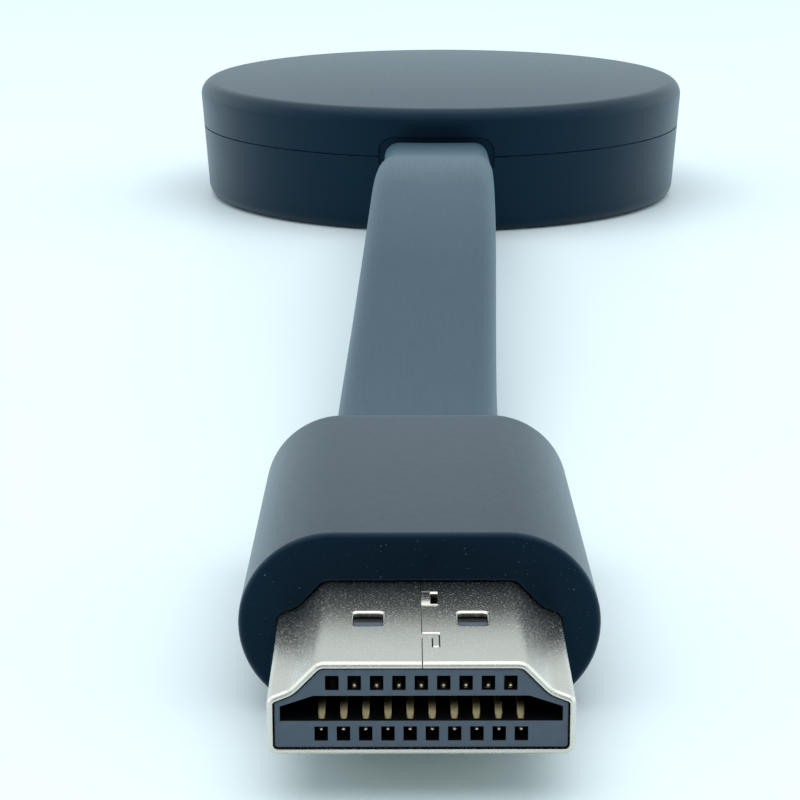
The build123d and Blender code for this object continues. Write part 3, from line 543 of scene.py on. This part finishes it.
def rounded(corners, radii, count):
    """A closed outline with an arc at each corner.

    Each arc starts and ends at radius times the tangent of half the turn from its corner, and
    its points turn evenly between the two edge directions. It starts half way along the edge
    before the first corner.
    """
    corners = np.array(corners, float)
    before = np.roll(corners, 1, axis=0)
    arrive = corners - before
    arrive /= np.linalg.norm(arrive, axis=1)[:, None]
    leave = np.roll(arrive, -1, axis=0)
    cross = arrive[:, 0] * leave[:, 1] - arrive[:, 1] * leave[:, 0]
    turn = np.arctan2(cross, (arrive * leave).sum(axis=1))
    radii = np.array(radii, float)
    start = corners - arrive * (radii * np.tan(np.abs(turn) / 2))[:, None]
    side = np.sign(turn)[:, None] * np.column_stack([-arrive[:, 1], arrive[:, 0]])
    centre = start + side * radii[:, None]
    angle = np.linspace(0, 1, ARC_POINTS)[None, :] * turn[:, None]
    spoke = start - centre
    x = centre[:, :1] + spoke[:, :1] * np.cos(angle) - spoke[:, 1:] * np.sin(angle)
    y = centre[:, 1:] + spoke[:, :1] * np.sin(angle) + spoke[:, 1:] * np.cos(angle)
    points = np.column_stack([x.ravel(), y.ravel()])
    middle = (corners[0] + corners[-1]) / 2
    return resampled(np.vstack([middle, points]), count)


def stadium(width, height, count):
    """A flat outline with half-round ends, going round from the middle of its underside.

    The radii are NEARLY_ALL of half the height, so that each end keeps a tiny straight edge.
    """
    x, y = width / 2, height / 2
    corner = [(x, -y), (x, y), (-x, y), (-x, -y)]
    return rounded(corner, [y * NEARLY_ALL] * 4, count)


print("stadium points", stadium(2, 1, 64).shape)

# %% [markdown]
# A piece is a mesh whose object sits at the origin. It takes its material from a slot, and it
# rides on a body of the model, so that it moves with that body.

# %% Faces and pieces
def add_piece(name, points, faces, slot, body="root"):
    """A smooth mesh at the origin, with its finish, that rides on a body of the model."""
    mesh = bpy.data.meshes.new(name)
    mesh.from_pydata(points.reshape(-1, 3).tolist(), [], faces)
    mesh.update()
    mesh.shade_smooth()
    piece = bpy.data.objects.new(name, mesh)
    bpy.context.scene.collection.objects.link(piece)
    wear(piece, slot)
    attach(piece, body)
    print(name, len(mesh.vertices), "points", len(mesh.polygons), "faces")
    return piece


def ring_faces(rows, count, closed=False):
    """Four-sided faces from each ring to the next, and from the last to the first if closed."""
    row = np.arange(rows if closed else rows - 1)[:, None]
    column = np.arange(count)[None, :]
    following = (row + 1) % rows
    beside = (column + 1) % count
    corners = (row * count + column, row * count + beside)
    corners += (following * count + beside, following * count + column)
    return np.stack(np.broadcast_arrays(*corners), axis=-1).reshape(-1, 4).tolist()


print("faces between two rings of four points", ring_faces(2, 4))

# %% [markdown]
# ## The flat cable
#
# The cable is limp and lies where the plug and the round body leave it: straight out of the
# grip, up in a low arch and down into the body. Its line is one smooth curve, drawn towards
# a few guiding points, and its section is a flat bar with round edges. The section stays level
# across, because a flat cable bends easily about its width and hardly at all about its height.

# %% The cable's line
PLUG_X = -3.4
CABLE_X = -0.8
CABLE_ROUTE = [
    (PLUG_X, -127.2, 4.7),
    (PLUG_X, -116.3, 4.7),
    (-2.75, -97.0, 6.5),
    (-1.95, -76.0, 9.7),
    (-1.45, -57.0, 11.4),
    (CABLE_X, -33.0, 7.6),
    (CABLE_X, -20.5, 7.6),
]


def smooth_line(points_mm, name):
    """A NURBS curve drawn towards its guiding points, read back as a dense row of points."""
    curve = bpy.data.curves.new(name, "CURVE")
    curve.dimensions = "3D"
    spline = curve.splines.new("NURBS")
    spline.points.add(len(points_mm) - 1)
    for point, place in zip(spline.points, points_mm):
        point.co = (*(value * MM for value in place), 1)
    spline.order_u = 3
    spline.use_endpoint_u = True
    spline.resolution_u = 24
    guide = bpy.data.objects.new(name, curve)
    bpy.context.scene.collection.objects.link(guide)
    bpy.context.view_layer.update()
    mesh = bpy.data.meshes.new_from_object(guide)
    line = np.array([vertex.co for vertex in mesh.vertices])
    bpy.data.objects.remove(guide)
    bpy.data.meshes.remove(mesh)
    return line


cable_line = smooth_line(CABLE_ROUTE, "cable_guide")

# %% [markdown]
# The jacket is one ring of points carried along that line. Both of its ends lie inside other
# pieces, and each is closed so that the jacket is a solid.

# %% The cable's surface
CABLE_WIDTH = 10.2 * MM
CABLE_THICKNESS = 2.9 * MM
CABLE_ROUND = 64
END_SHRINK = (0.7, 0.0)


def carry(outline, line):
    """Carries an outline along a line.

    At each point of the line the outline's X axis stays level and square to the line, and its
    Y axis is square to both.
    """
    along = np.gradient(line, axis=0)
    along /= np.linalg.norm(along, axis=1)[:, None]
    across = np.cross(along, [0, 0, 1])
    across /= np.linalg.norm(across, axis=1)[:, None]
    up = np.cross(across, along)
    level = outline[None, :, :1] * across[:, None]
    upright = outline[None, :, 1:] * up[:, None]
    return line[:, None] + level + upright


def add_cable():
    """The jacket, with its ends closed by shrinking the last ring to a line in its middle."""
    outline = stadium(CABLE_WIDTH, CABLE_THICKNESS, CABLE_ROUND)
    rings = carry(outline, cable_line)
    ends = carry(outline * END_SHRINK, cable_line)
    rings = np.concatenate([ends[:1], rings[:1], rings, rings[-1:], ends[-1:]])
    return add_piece("flat_cable", rings, ring_faces(len(rings), CABLE_ROUND), "cable_jacket")


cable = add_cable()
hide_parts("ribbon_cable")

# %% [markdown]
# ## The grip
#
# The grip is moulded round the plug in one shot. From the front it is a flat bar with
# half-round sides, a fifth of a millimetre narrower at the back on each side so that it
# leaves its mould. Its front edge is nearly sharp and its back edge is well rounded. The
# stack of rings starts inside, round the metal box that it grips, comes out of the front
# round the shell, runs over the outside and goes back in round the cable.

# %% The grip's surface
GRIP_ROUND = 256
GRIP_TAPER = math.tan(math.radians(0.55))
FRONT_RADIUS = 0.35
BACK_RADIUS = 1.8
LIP_RADIUS = 0.12
LIP_RINGS, FRONT_RINGS, SIDE_RINGS, BACK_RINGS = 5, 7, 12, 13
SIDES_FROM, SIDES_TO = 2.0, 0.3
PAST_ROUND = 1.3
BACK_MARGIN = 0.1
POCKET_DEPTH = 2.0
WIRE_SLOT = (8.8, 1.6)
HALF_WIDTH, HALF_HEIGHT = 6.95, 2.225
SHELL_CORNERS = [(HALF_WIDTH, -HALF_HEIGHT), (HALF_WIDTH, 0.5), (5.91, 0.92), (4.65, HALF_HEIGHT)]
SHELL_RADII = [0.5, 0.45, 1.1, 0.75]
SHELL_GAP = 0.08
low, high = (np.array(corner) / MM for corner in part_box("plug_overmold"))
grip_front, grip_back = low[1], high[1]
grip_width, grip_height = high[0] - low[0], high[2] - low[2]
grip_axis = ((low[0] + high[0]) / 2, (low[2] + high[2]) / 2)


def shell_outline(grow, count):
    """The plug shell's outline, scaled about its middle so that its sides move out by grow."""
    right = np.array(SHELL_CORNERS)
    left = right[::-1] * (-1, 1)
    outline = rounded(np.vstack([right, left]), SHELL_RADII + SHELL_RADII[::-1], count)
    return outline * (1 + grow / HALF_WIDTH, 1 + grow / HALF_HEIGHT)


def edge_rings(radius, count):
    """How far in and how far along a quarter-round edge is, at even angles."""
    angle = np.linspace(0, math.pi / 2, count)
    return radius * (1 - np.cos(angle)), radius * np.sin(angle)


print("grip in mm", [round(size, 1) for size in (high - low).tolist()])

# %% [markdown]
# Every ring has the same number of points, whatever its outline, so the rings can change from
# the metal box's to the shell's and to the cable's and still be one closed surface.

# %% The grip's rings
def grip_ring(inset, place):
    """The outer outline at a distance from the front, narrower by the taper and an inset."""
    less = 2 * (inset + (place - grip_front) * GRIP_TAPER)
    ring = stadium(grip_width - less, grip_height - less, GRIP_ROUND)
    return np.insert(ring, 1, place, axis=1)


def level_ring(outline, place):
    """An outline at a distance along the plug."""
    return np.insert(outline, 1, place, axis=1)


def grip_rings():
    """All rings in order: cavity, front opening, front face, sides, back face, cable pocket.

    A ring at PAST_ROUND times the front radius on both sides of the front edge, and one
    BACK_MARGIN past the back edge, keep the flat faces beside them flat in their shading. The
    rings of the sides run from SIDES_FROM behind the front to SIDES_TO before the back round.
    """
    can_low, can_high = (np.array(corner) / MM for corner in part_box("plug_shield_can"))
    can = stadium(can_high[0] - can_low[0], can_high[2] - can_low[2], GRIP_ROUND)
    can_front, can_back = can_low[1], can_high[1]
    opening = shell_outline(SHELL_GAP, GRIP_ROUND)
    lip_in, lip_along = edge_rings(LIP_RADIUS, LIP_RINGS)
    front_in, front_along = edge_rings(FRONT_RADIUS, FRONT_RINGS)
    back_in, back_along = edge_rings(BACK_RADIUS, BACK_RINGS)
    pocket = stadium(CABLE_WIDTH / MM, CABLE_THICKNESS / MM, GRIP_ROUND)
    pocket_end = grip_back - POCKET_DEPTH
    slot = stadium(*WIRE_SLOT, GRIP_ROUND)
    rings = [level_ring(slot, pocket_end), level_ring(slot, can_back), level_ring(can, can_back)]
    rings += [level_ring(can, can_front), level_ring(opening, can_front)]
    rings += [level_ring(opening, grip_front + LIP_RADIUS)]
    for out, depth in zip(lip_in[1:], lip_along[1:]):
        wider = shell_outline(SHELL_GAP + out, GRIP_ROUND)
        rings.append(level_ring(wider, grip_front + LIP_RADIUS - depth))
    rings += [grip_ring(FRONT_RADIUS * PAST_ROUND, grip_front)]
    for inset, depth in zip(front_in[::-1], front_along[::-1]):
        rings.append(grip_ring(inset, grip_front + FRONT_RADIUS - depth))
    rings += [grip_ring(0, grip_front + FRONT_RADIUS * PAST_ROUND)]
    last = grip_back - BACK_RADIUS - SIDES_TO
    sides = np.linspace(grip_front + SIDES_FROM, last, SIDE_RINGS)
    rings += [grip_ring(0, place) for place in sides]
    for inset, depth in zip(back_in, back_along):
        rings.append(grip_ring(inset, grip_back - BACK_RADIUS + depth))
    rings += [grip_ring(BACK_RADIUS + BACK_MARGIN, grip_back)]
    for out, depth in zip(lip_in[:0:-1], lip_along[:0:-1]):
        wider = pocket * (1 + 2 * out * MM / CABLE_WIDTH, 1 + 2 * out * MM / CABLE_THICKNESS)
        rings.append(level_ring(wider, grip_back - LIP_RADIUS + depth))
    rings += [level_ring(pocket, grip_back - LIP_RADIUS), level_ring(pocket, pocket_end)]
    return np.array(rings)


def add_grip():
    """Puts the rings round the plug's axis and closes the stack on itself."""
    rings = grip_rings() + (grip_axis[0], 0, grip_axis[1])
    faces = ring_faces(len(rings), GRIP_ROUND, closed=True)
    piece = add_piece("plug_grip", rings * MM, faces, "overmold_plastic")
    piece.modifiers.new("weighted normals", "WEIGHTED_NORMAL")
    return piece


grip = add_grip()
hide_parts("plug_overmold")

# %% [markdown]
# ## The contacts
#
# Each contact is a gold-plated strip of springy bronze, stamped and bent: its narrow tip
# rests behind a window, it climbs steeply into the slot, and from the crown it falls slowly
# back to its root. The engineering model has the same strips with square corners. Here a
# small rounded section is carried along the bent line of every strip at once. The first strip
# of the upper row starts lower and further back than the others, as in the photograph. A
# line's points are in mm: how far behind the rim, and how far from the plug's axis.

# %% A contact's line
CONTACT_THICKNESS = 0.15
CONTACT_WIDTH = 0.35
TIP_WIDTH = 0.18
CONTACT_LINE = [(1.2, 0.31), (1.55, 0.27), (2.5, 0.7), (7.6, 0.77), (13.2, 0.75)]
LOWER_TIP = [(0.3, 1.08), (0.8, 1.08)]
UPPER_TIP = [(0.3, 1.01), (0.8, 1.01)]
FIRST_UPPER_TIP = [(1.12, 0.45), (1.15, 0.38)]
LOWER_GROWTH, UPPER_GROWTH = (0.84, 0.92), (1.0, 1.1)
TIP_ROUND = 0.09
TIP_LENGTHS = [0, 0.004, 0.018, 0.045]
BEND_LENGTHS = np.arange(0.09, 3, 0.07)
ROOT_LENGTH, ROOT_COUNT = 3, 10
SECTION_CORNERS = [(0.5, -0.5), (0.5, 0.5), (-0.5, 0.5), (-0.5, -0.5)]
SECTION_RADIUS, SECTION_POINTS = 0.35, 16


def low_rim():
    """The plug's rim, the nearest point of its shell."""
    return float(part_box("plug_shell")[0][1]) / MM


def eased(points, rounds=3):
    """A smoother open line: each corner is cut a quarter of the way along both of its edges."""
    for turn in range(rounds):
        first = points[..., :-1, :] * 0.75 + points[..., 1:, :] * 0.25
        second = points[..., :-1, :] * 0.25 + points[..., 1:, :] * 0.75
        middle = np.stack([first, second], axis=-2).reshape(*points.shape[:-2], -1, 2)
        points = np.concatenate([points[..., :1, :], middle, points[..., -1:, :]], axis=-2)
    return points


def strip_line(points):
    """The eased line read at set lengths from its tip: close together there, wide at the root."""
    line = eased(np.array(points))
    length = np.concatenate([[0], np.cumsum(np.linalg.norm(np.diff(line, axis=0), axis=1))])
    root = np.linspace(ROOT_LENGTH, length[-1], ROOT_COUNT)
    wanted = np.concatenate([TIP_LENGTHS, BEND_LENGTHS, root])
    return np.column_stack([np.interp(wanted, length, line[:, axis]) for axis in (0, 1)]), wanted


print("points on a contact's line", len(strip_line([*UPPER_TIP, *CONTACT_LINE])[1]))

# %% [markdown]
# All strips of a row are one mesh. The array of its points counts the strips, the rings along
# each strip and the points round each ring.

# %% Two rows of contacts
def add_contacts(name, node, side, tip, first, growth):
    """One row of strips: for each, its line in the upright plane, and a section square to it.

    Tip is the line's first two points, and first takes their place on the row's first strip.
    Side is 1 above the axis, -1 below. The section's height is added along the line's normal
    and its width along X. The width grows from the tip's to the full one between the two
    depths of growth, and both are round at the tip: the root of one minus the square of the
    share of TIP_ROUND that is left.
    """
    low, high = (np.array(corner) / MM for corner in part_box(node))
    count = round(high[0] - low[0] - CONTACT_WIDTH) + 1
    middles = (low[0] + high[0]) / 2 + np.arange(count) - (count - 1) / 2
    plain, reach = strip_line([*tip, *CONTACT_LINE])
    line = np.stack([strip_line([*first, *CONTACT_LINE])[0]] + [plain] * (count - 1))
    ending = np.sqrt(1 - (1 - np.minimum(reach / TIP_ROUND, 1)) ** 2)
    along = np.gradient(line, axis=1)
    along /= np.linalg.norm(along, axis=2)[:, :, None]
    normal = np.stack([-along[..., 1], along[..., 0]], axis=-1)
    section = rounded(SECTION_CORNERS, [SECTION_RADIUS] * 4, SECTION_POINTS)
    width = np.interp(line[..., 0], growth, (TIP_WIDTH, CONTACT_WIDTH)) * ending
    ending[-1] = 0.0
    offset = section[:, 1] * CONTACT_THICKNESS * ending[None, :, None]
    x = middles[:, None, None] + section[:, 0] * width[..., None]
    depth = line[..., :1] + offset * normal[..., :1]
    height = line[..., 1:] + offset * normal[..., 1:]
    points = np.stack([x, low_rim() + depth, grip_axis[1] + side * height], axis=-1)
    rings, around = points.shape[1], points.shape[2]
    faces = np.array(ring_faces(rings, around))
    if side > 0:
        faces = faces[:, ::-1]
    faces = faces[None] + (np.arange(count) * rings * around)[:, None, None]
    piece = add_piece(name, points * MM, faces.reshape(-1, 4).tolist(), "contact_gold")
    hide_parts(node)
    return piece


lower = (-1, LOWER_TIP, LOWER_TIP, LOWER_GROWTH)
upper = (1, UPPER_TIP, FIRST_UPPER_TIP, UPPER_GROWTH)
contacts = [
    add_contacts("lower_contacts", "plug_contacts_lower", *lower),
    add_contacts("upper_contacts", "plug_contacts_upper", *upper),
]

# %% [markdown]
# ## Softened edges
#
# No real edge is sharp: a stamped sheet has a burr worn round, and a moulded block has its
# mould's tiny radius. Those edges catch a line of light. A copy of the engineering part has
# its flat faces joined up again and its sharp edges rounded by a Bevel modifier, with a
# weight for each edge, so that the mouth's edges are rounder than the rest. On the way the
# shell's copy gets three touches from the photograph: a fuller round on its rim, a seam that
# nearly closes, and a flatter tab in its rear key. All sizes are in mm. Depths count from the
# rim, SEAM_X from the plug's middle and TAB_SIDES from the seam.

# %% A fuller rim
HAIR = 0.001
RIM_ROUND = 0.18
RIM_GROWTH = 1.3
RIM_POINTS = 3000
OFF_ROUND = 0.012
SEAM_X = 0.05
SEAM_GAP = 0.035
SEAM_CLOSING = 0.45
TAB_SIDES = (-0.005, 0.46)
TAB_TIP = 8
TAB_HINGE = 9.34
TAB_BEND = 0.07
TAB_LIFT = math.tan(math.radians(17)) - math.tan(math.radians(8))


def fuller_rim(mesh):
    """Enlarges the quarter round that runs along the shell's rim, and nearly closes its seam.

    A point on the round lies RIM_ROUND from the round's middle. How far it is in from the
    outline, and how far back from the rim, both grow by the same share. The seam's two walls
    move towards each other by SEAM_CLOSING of their distance from its middle. The rear key's
    tab is turned up about its hinge: each of its points rises by its distance from the hinge
    times TAB_LIFT, the difference between the two slopes.
    """
    points = np.empty(len(mesh.vertices) * 3, "f")
    mesh.vertices.foreach_get("co", points)
    points = points.reshape(-1, 3) / MM
    outline = shell_outline(0, RIM_POINTS) + grip_axis
    depth = points[:, 1] - low_rim()
    front = np.flatnonzero(depth < RIM_ROUND + HAIR)
    apart = points[front][:, None, ::2] - outline[None]
    distance = np.linalg.norm(apart, axis=2)
    nearest = distance.argmin(axis=1)
    inset = distance[np.arange(len(front)), nearest]
    from_middle = np.hypot(RIM_ROUND - depth[front], RIM_ROUND - inset)
    arc = (np.abs(from_middle - RIM_ROUND) < OFF_ROUND) & (inset < RIM_ROUND + HAIR)
    chosen, foot = front[arc], outline[nearest[arc]]
    points[chosen, ::2] = foot + (points[chosen, ::2] - foot) * RIM_GROWTH
    points[chosen, 1] = low_rim() + depth[chosen] * RIM_GROWTH
    from_seam = points[:, 0] - PLUG_X - SEAM_X
    points[:, 0] -= np.where(np.abs(from_seam) < SEAM_GAP, from_seam * SEAM_CLOSING, 0)
    across = (from_seam > TAB_SIDES[0]) & (from_seam < TAB_SIDES[1])
    on_tab = across & (depth > TAB_TIP) & (depth < TAB_HINGE - TAB_BEND)
    points[:, 2] += np.where(on_tab, (TAB_HINGE - depth) * TAB_LIFT, 0)
    mesh.vertices.foreach_set("co", (points * MM).ravel())
    print("points on the rim's round", len(chosen), "of", len(front))


print("the tab's slope changes by", round(TAB_LIFT, 3))

# %% [markdown]
# An engineering mesh is loose triangles that share no points. Its copy is merged and its flat
# faces are joined first, because a bevel needs to know which faces meet at an edge.

# %% Merge and round a copy
SHARP = math.radians(25)
FLAT = math.radians(0.6)
MERGE = 0.0005 * MM
BEVEL_SEGMENTS = 2


def softened(name, node, width_mm, weight, reshape=None):
    """A copy of a node whose sharp edges are rounded to width_mm times weight(edge middle)."""
    mesh = frame["nodes"][node].data.copy()
    if reshape:
        reshape(mesh)
    form = bmesh.new()
    form.from_mesh(mesh)
    bmesh.ops.remove_doubles(form, verts=form.verts, dist=MERGE)
    bmesh.ops.dissolve_limit(form, angle_limit=FLAT, verts=form.verts, edges=form.edges)
    layer = form.edges.layers.float.new("bevel_weight_edge")
    for edge in form.edges:
        sharp = len(edge.link_faces) == 2 and edge.calc_face_angle() > SHARP
        middle = (edge.verts[0].co + edge.verts[1].co) / 2 / MM
        edge[layer] = weight(middle) if sharp else 0.0
    form.to_mesh(mesh)
    form.free()
    mesh.name = name
    mesh.shade_smooth()
    piece = bpy.data.objects.new(name, mesh)
    bpy.context.scene.collection.objects.link(piece)
    bevel = piece.modifiers.new("worn edges", "BEVEL")
    bevel.limit_method = "WEIGHT"
    bevel.width = width_mm * MM
    bevel.segments = BEVEL_SEGMENTS
    bevel.use_clamp_overlap = False
    piece.modifiers.new("weighted normals", "WEIGHTED_NORMAL")
    parts = frame["record"]["subparts"]
    slot = [part["material_slot"] for part in parts if part["node"] == node][0]
    wear(piece, slot)
    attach(piece, "root")
    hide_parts(node)
    print(name, len(mesh.polygons), "faces before rounding")
    return piece


print("edges sharper than", round(math.degrees(SHARP)), "degrees are rounded")

# %% [markdown]
# The weights tell a mouth's edge from any other by how near it lies to the rim, and the outer
# edge of the contact block's face by how near it lies to that face's outline.

# %% Soften the shell and the contact block
SHELL_WEAR, BLOCK_WEAR = 0.035, 0.07
MOUTH_DEPTH, INNER_WEIGHT = 0.1, 0.25
FACE_DEPTH, FACE_REACH, OPENING_WEIGHT = 0.2, 0.15, 0.35
FACE_INSET, FACE_POINTS = 0.33, 400
face_outline = shell_outline(-FACE_INSET, FACE_POINTS) + grip_axis


def rim_edge(middle):
    """Full weight within MOUTH_DEPTH of the plug's rim, INNER_WEIGHT further in."""
    return 1.0 if middle[1] < low_rim() + MOUTH_DEPTH else INNER_WEIGHT


def face_edge(middle):
    """Full weight on the outer edge of the contact block's face, OPENING_WEIGHT elsewhere."""
    apart = np.linalg.norm(face_outline - (middle[0], middle[2]), axis=1).min()
    outer = middle[1] < low_rim() + FACE_DEPTH and apart < FACE_REACH
    return 1.0 if outer else OPENING_WEIGHT


softened_pieces = [
    softened("nickel_shell", "plug_shell", SHELL_WEAR, rim_edge, fuller_rim),
    softened("slate_insulator", "plug_insulator", BLOCK_WEAR, face_edge),
]

# %% [markdown]

# %% [markdown]
# ## Table, light and air
#
# The photograph was taken on a white table in broad soft light from above. A large lamp
# overhead gives the soft shadow under the nose. The table is wide enough to fill the view.

# %% Table and lamp
TABLE_COLOURS = ("#e9f7fb", "#effbff")
TABLE_REACH = 3.0
LAMP_SIZE = 1.0
LAMP_PLACE = (0.0, -0.2, 0.6)
LAMP_POWER = 3.6


def add_table():
    """A wide pale plane under the object."""
    reach = TABLE_REACH
    corners = [(-reach, -reach, 0), (reach, -reach, 0), (reach, reach, 0), (-reach, reach, 0)]
    mesh = bpy.data.meshes.new("table")
    mesh.from_pydata(corners, [], [(0, 1, 2, 3)])
    table = bpy.data.objects.new("table", mesh)
    bpy.context.scene.collection.objects.link(table)
    material, tree, place = new_material("white_laminate")
    cloud = add(tree, "TexNoise", {"Vector": place, "Scale": PER_MM / 60})
    dark, light = TABLE_COLOURS
    mottle = {"Factor": cloud, "A": linear(dark), "B": linear(light)}
    inputs = {
        "Base Color": add(tree, "Mix", mottle, data_type="RGBA").outputs["Result"],
        "Roughness": 0.5,
        "Specular IOR Level": 0.2,
    }
    shader = add(tree, "BsdfPrincipled", inputs)
    add(tree, "OutputMaterial", {"Surface": shader})
    mesh.materials.append(material)


def add_lamp():
    """One large soft lamp, straight above the place just in front of the plug."""
    data = bpy.data.lights.new("overhead", "AREA")
    data.shape = "SQUARE"
    data.size = LAMP_SIZE
    data.energy = LAMP_POWER
    lamp = bpy.data.objects.new("overhead", data)
    lamp.location = LAMP_PLACE
    bpy.context.scene.collection.objects.link(lamp)


add_table()
add_lamp()
print("lamp in watts", LAMP_POWER)

# %% [markdown]
# A pale sky fills the rest. It is dimmer on the camera's side, as a room is, and brighter at
# both sides, like windows, and the metal and the round wall show both. It lights the object
# at two thirds of the strength that the camera and clear reflections see, so the backdrop
# stays pale while the shadows keep their depth. Its blue white is that of the table.

# %% The sky
SKY_COLOUR = "#eefaff"
SKY_FILL = 0.65
FRONT = (0.0, -0.94, 0.34)
FRONT_RANGE = {"From Min": 0.5, "From Max": 0.95}
FRONT_SHADE = 0.55
SIDE_RANGE = {"From Min": 0.4, "From Max": 1.0}
SIDE_GLOW = 1.8


def add_sky():
    """Fill light that is dimmer in front and brighter at the sides.

    Camera, glossy and transmission rays see strength 1, and all other light SKY_FILL.
    That is multiplied by an eased fall to FRONT_SHADE towards FRONT, and by an eased rise to
    SIDE_GLOW towards both ends of the X axis.
    """
    world = bpy.data.worlds.new("pale_room")
    world.use_nodes = True
    tree = world.node_tree
    tree.nodes.clear()
    rays = add(tree, "LightPath").outputs
    seen = {0: rays["Is Camera Ray"], 1: rays["Is Glossy Ray"]}
    seen = add(tree, "Math", seen, operation="MAXIMUM")
    seen = {0: seen, 1: rays["Is Transmission Ray"]}
    seen = add(tree, "Math", seen, operation="MAXIMUM")
    level = {"Value": seen, "To Min": SKY_FILL, "To Max": 1.0}
    level = add(tree, "MapRange", level)
    towards = add(tree, "TexCoord").outputs["Generated"]
    front = {0: towards, 1: FRONT}
    front = add(tree, "VectorMath", front, operation="DOT_PRODUCT").outputs["Value"]
    shade = {"Value": front, **FRONT_RANGE, "To Min": 1.0, "To Max": FRONT_SHADE}
    shade = add(tree, "MapRange", shade, interpolation_type="SMOOTHSTEP")
    level = add(tree, "Math", {0: level, 1: shade}, operation="MULTIPLY")
    side = add(tree, "SeparateXYZ", {"Vector": towards}).outputs["X"]
    side = add(tree, "Math", {0: side}, operation="ABSOLUTE")
    glow = {"Value": side, **SIDE_RANGE, "To Min": 1.0, "To Max": SIDE_GLOW}
    glow = add(tree, "MapRange", glow, interpolation_type="SMOOTHSTEP")
    level = add(tree, "Math", {0: level, 1: glow}, operation="MULTIPLY")
    shader = add(tree, "Background", {"Color": linear(SKY_COLOUR), "Strength": level})
    add(tree, "OutputWorld", {"Surface": shader})
    bpy.context.scene.world = world


add_sky()
bpy.context.scene.view_settings.view_transform = "Standard"
print("sky fill", SKY_FILL, "in front", FRONT_SHADE, "at the sides", SIDE_GLOW)
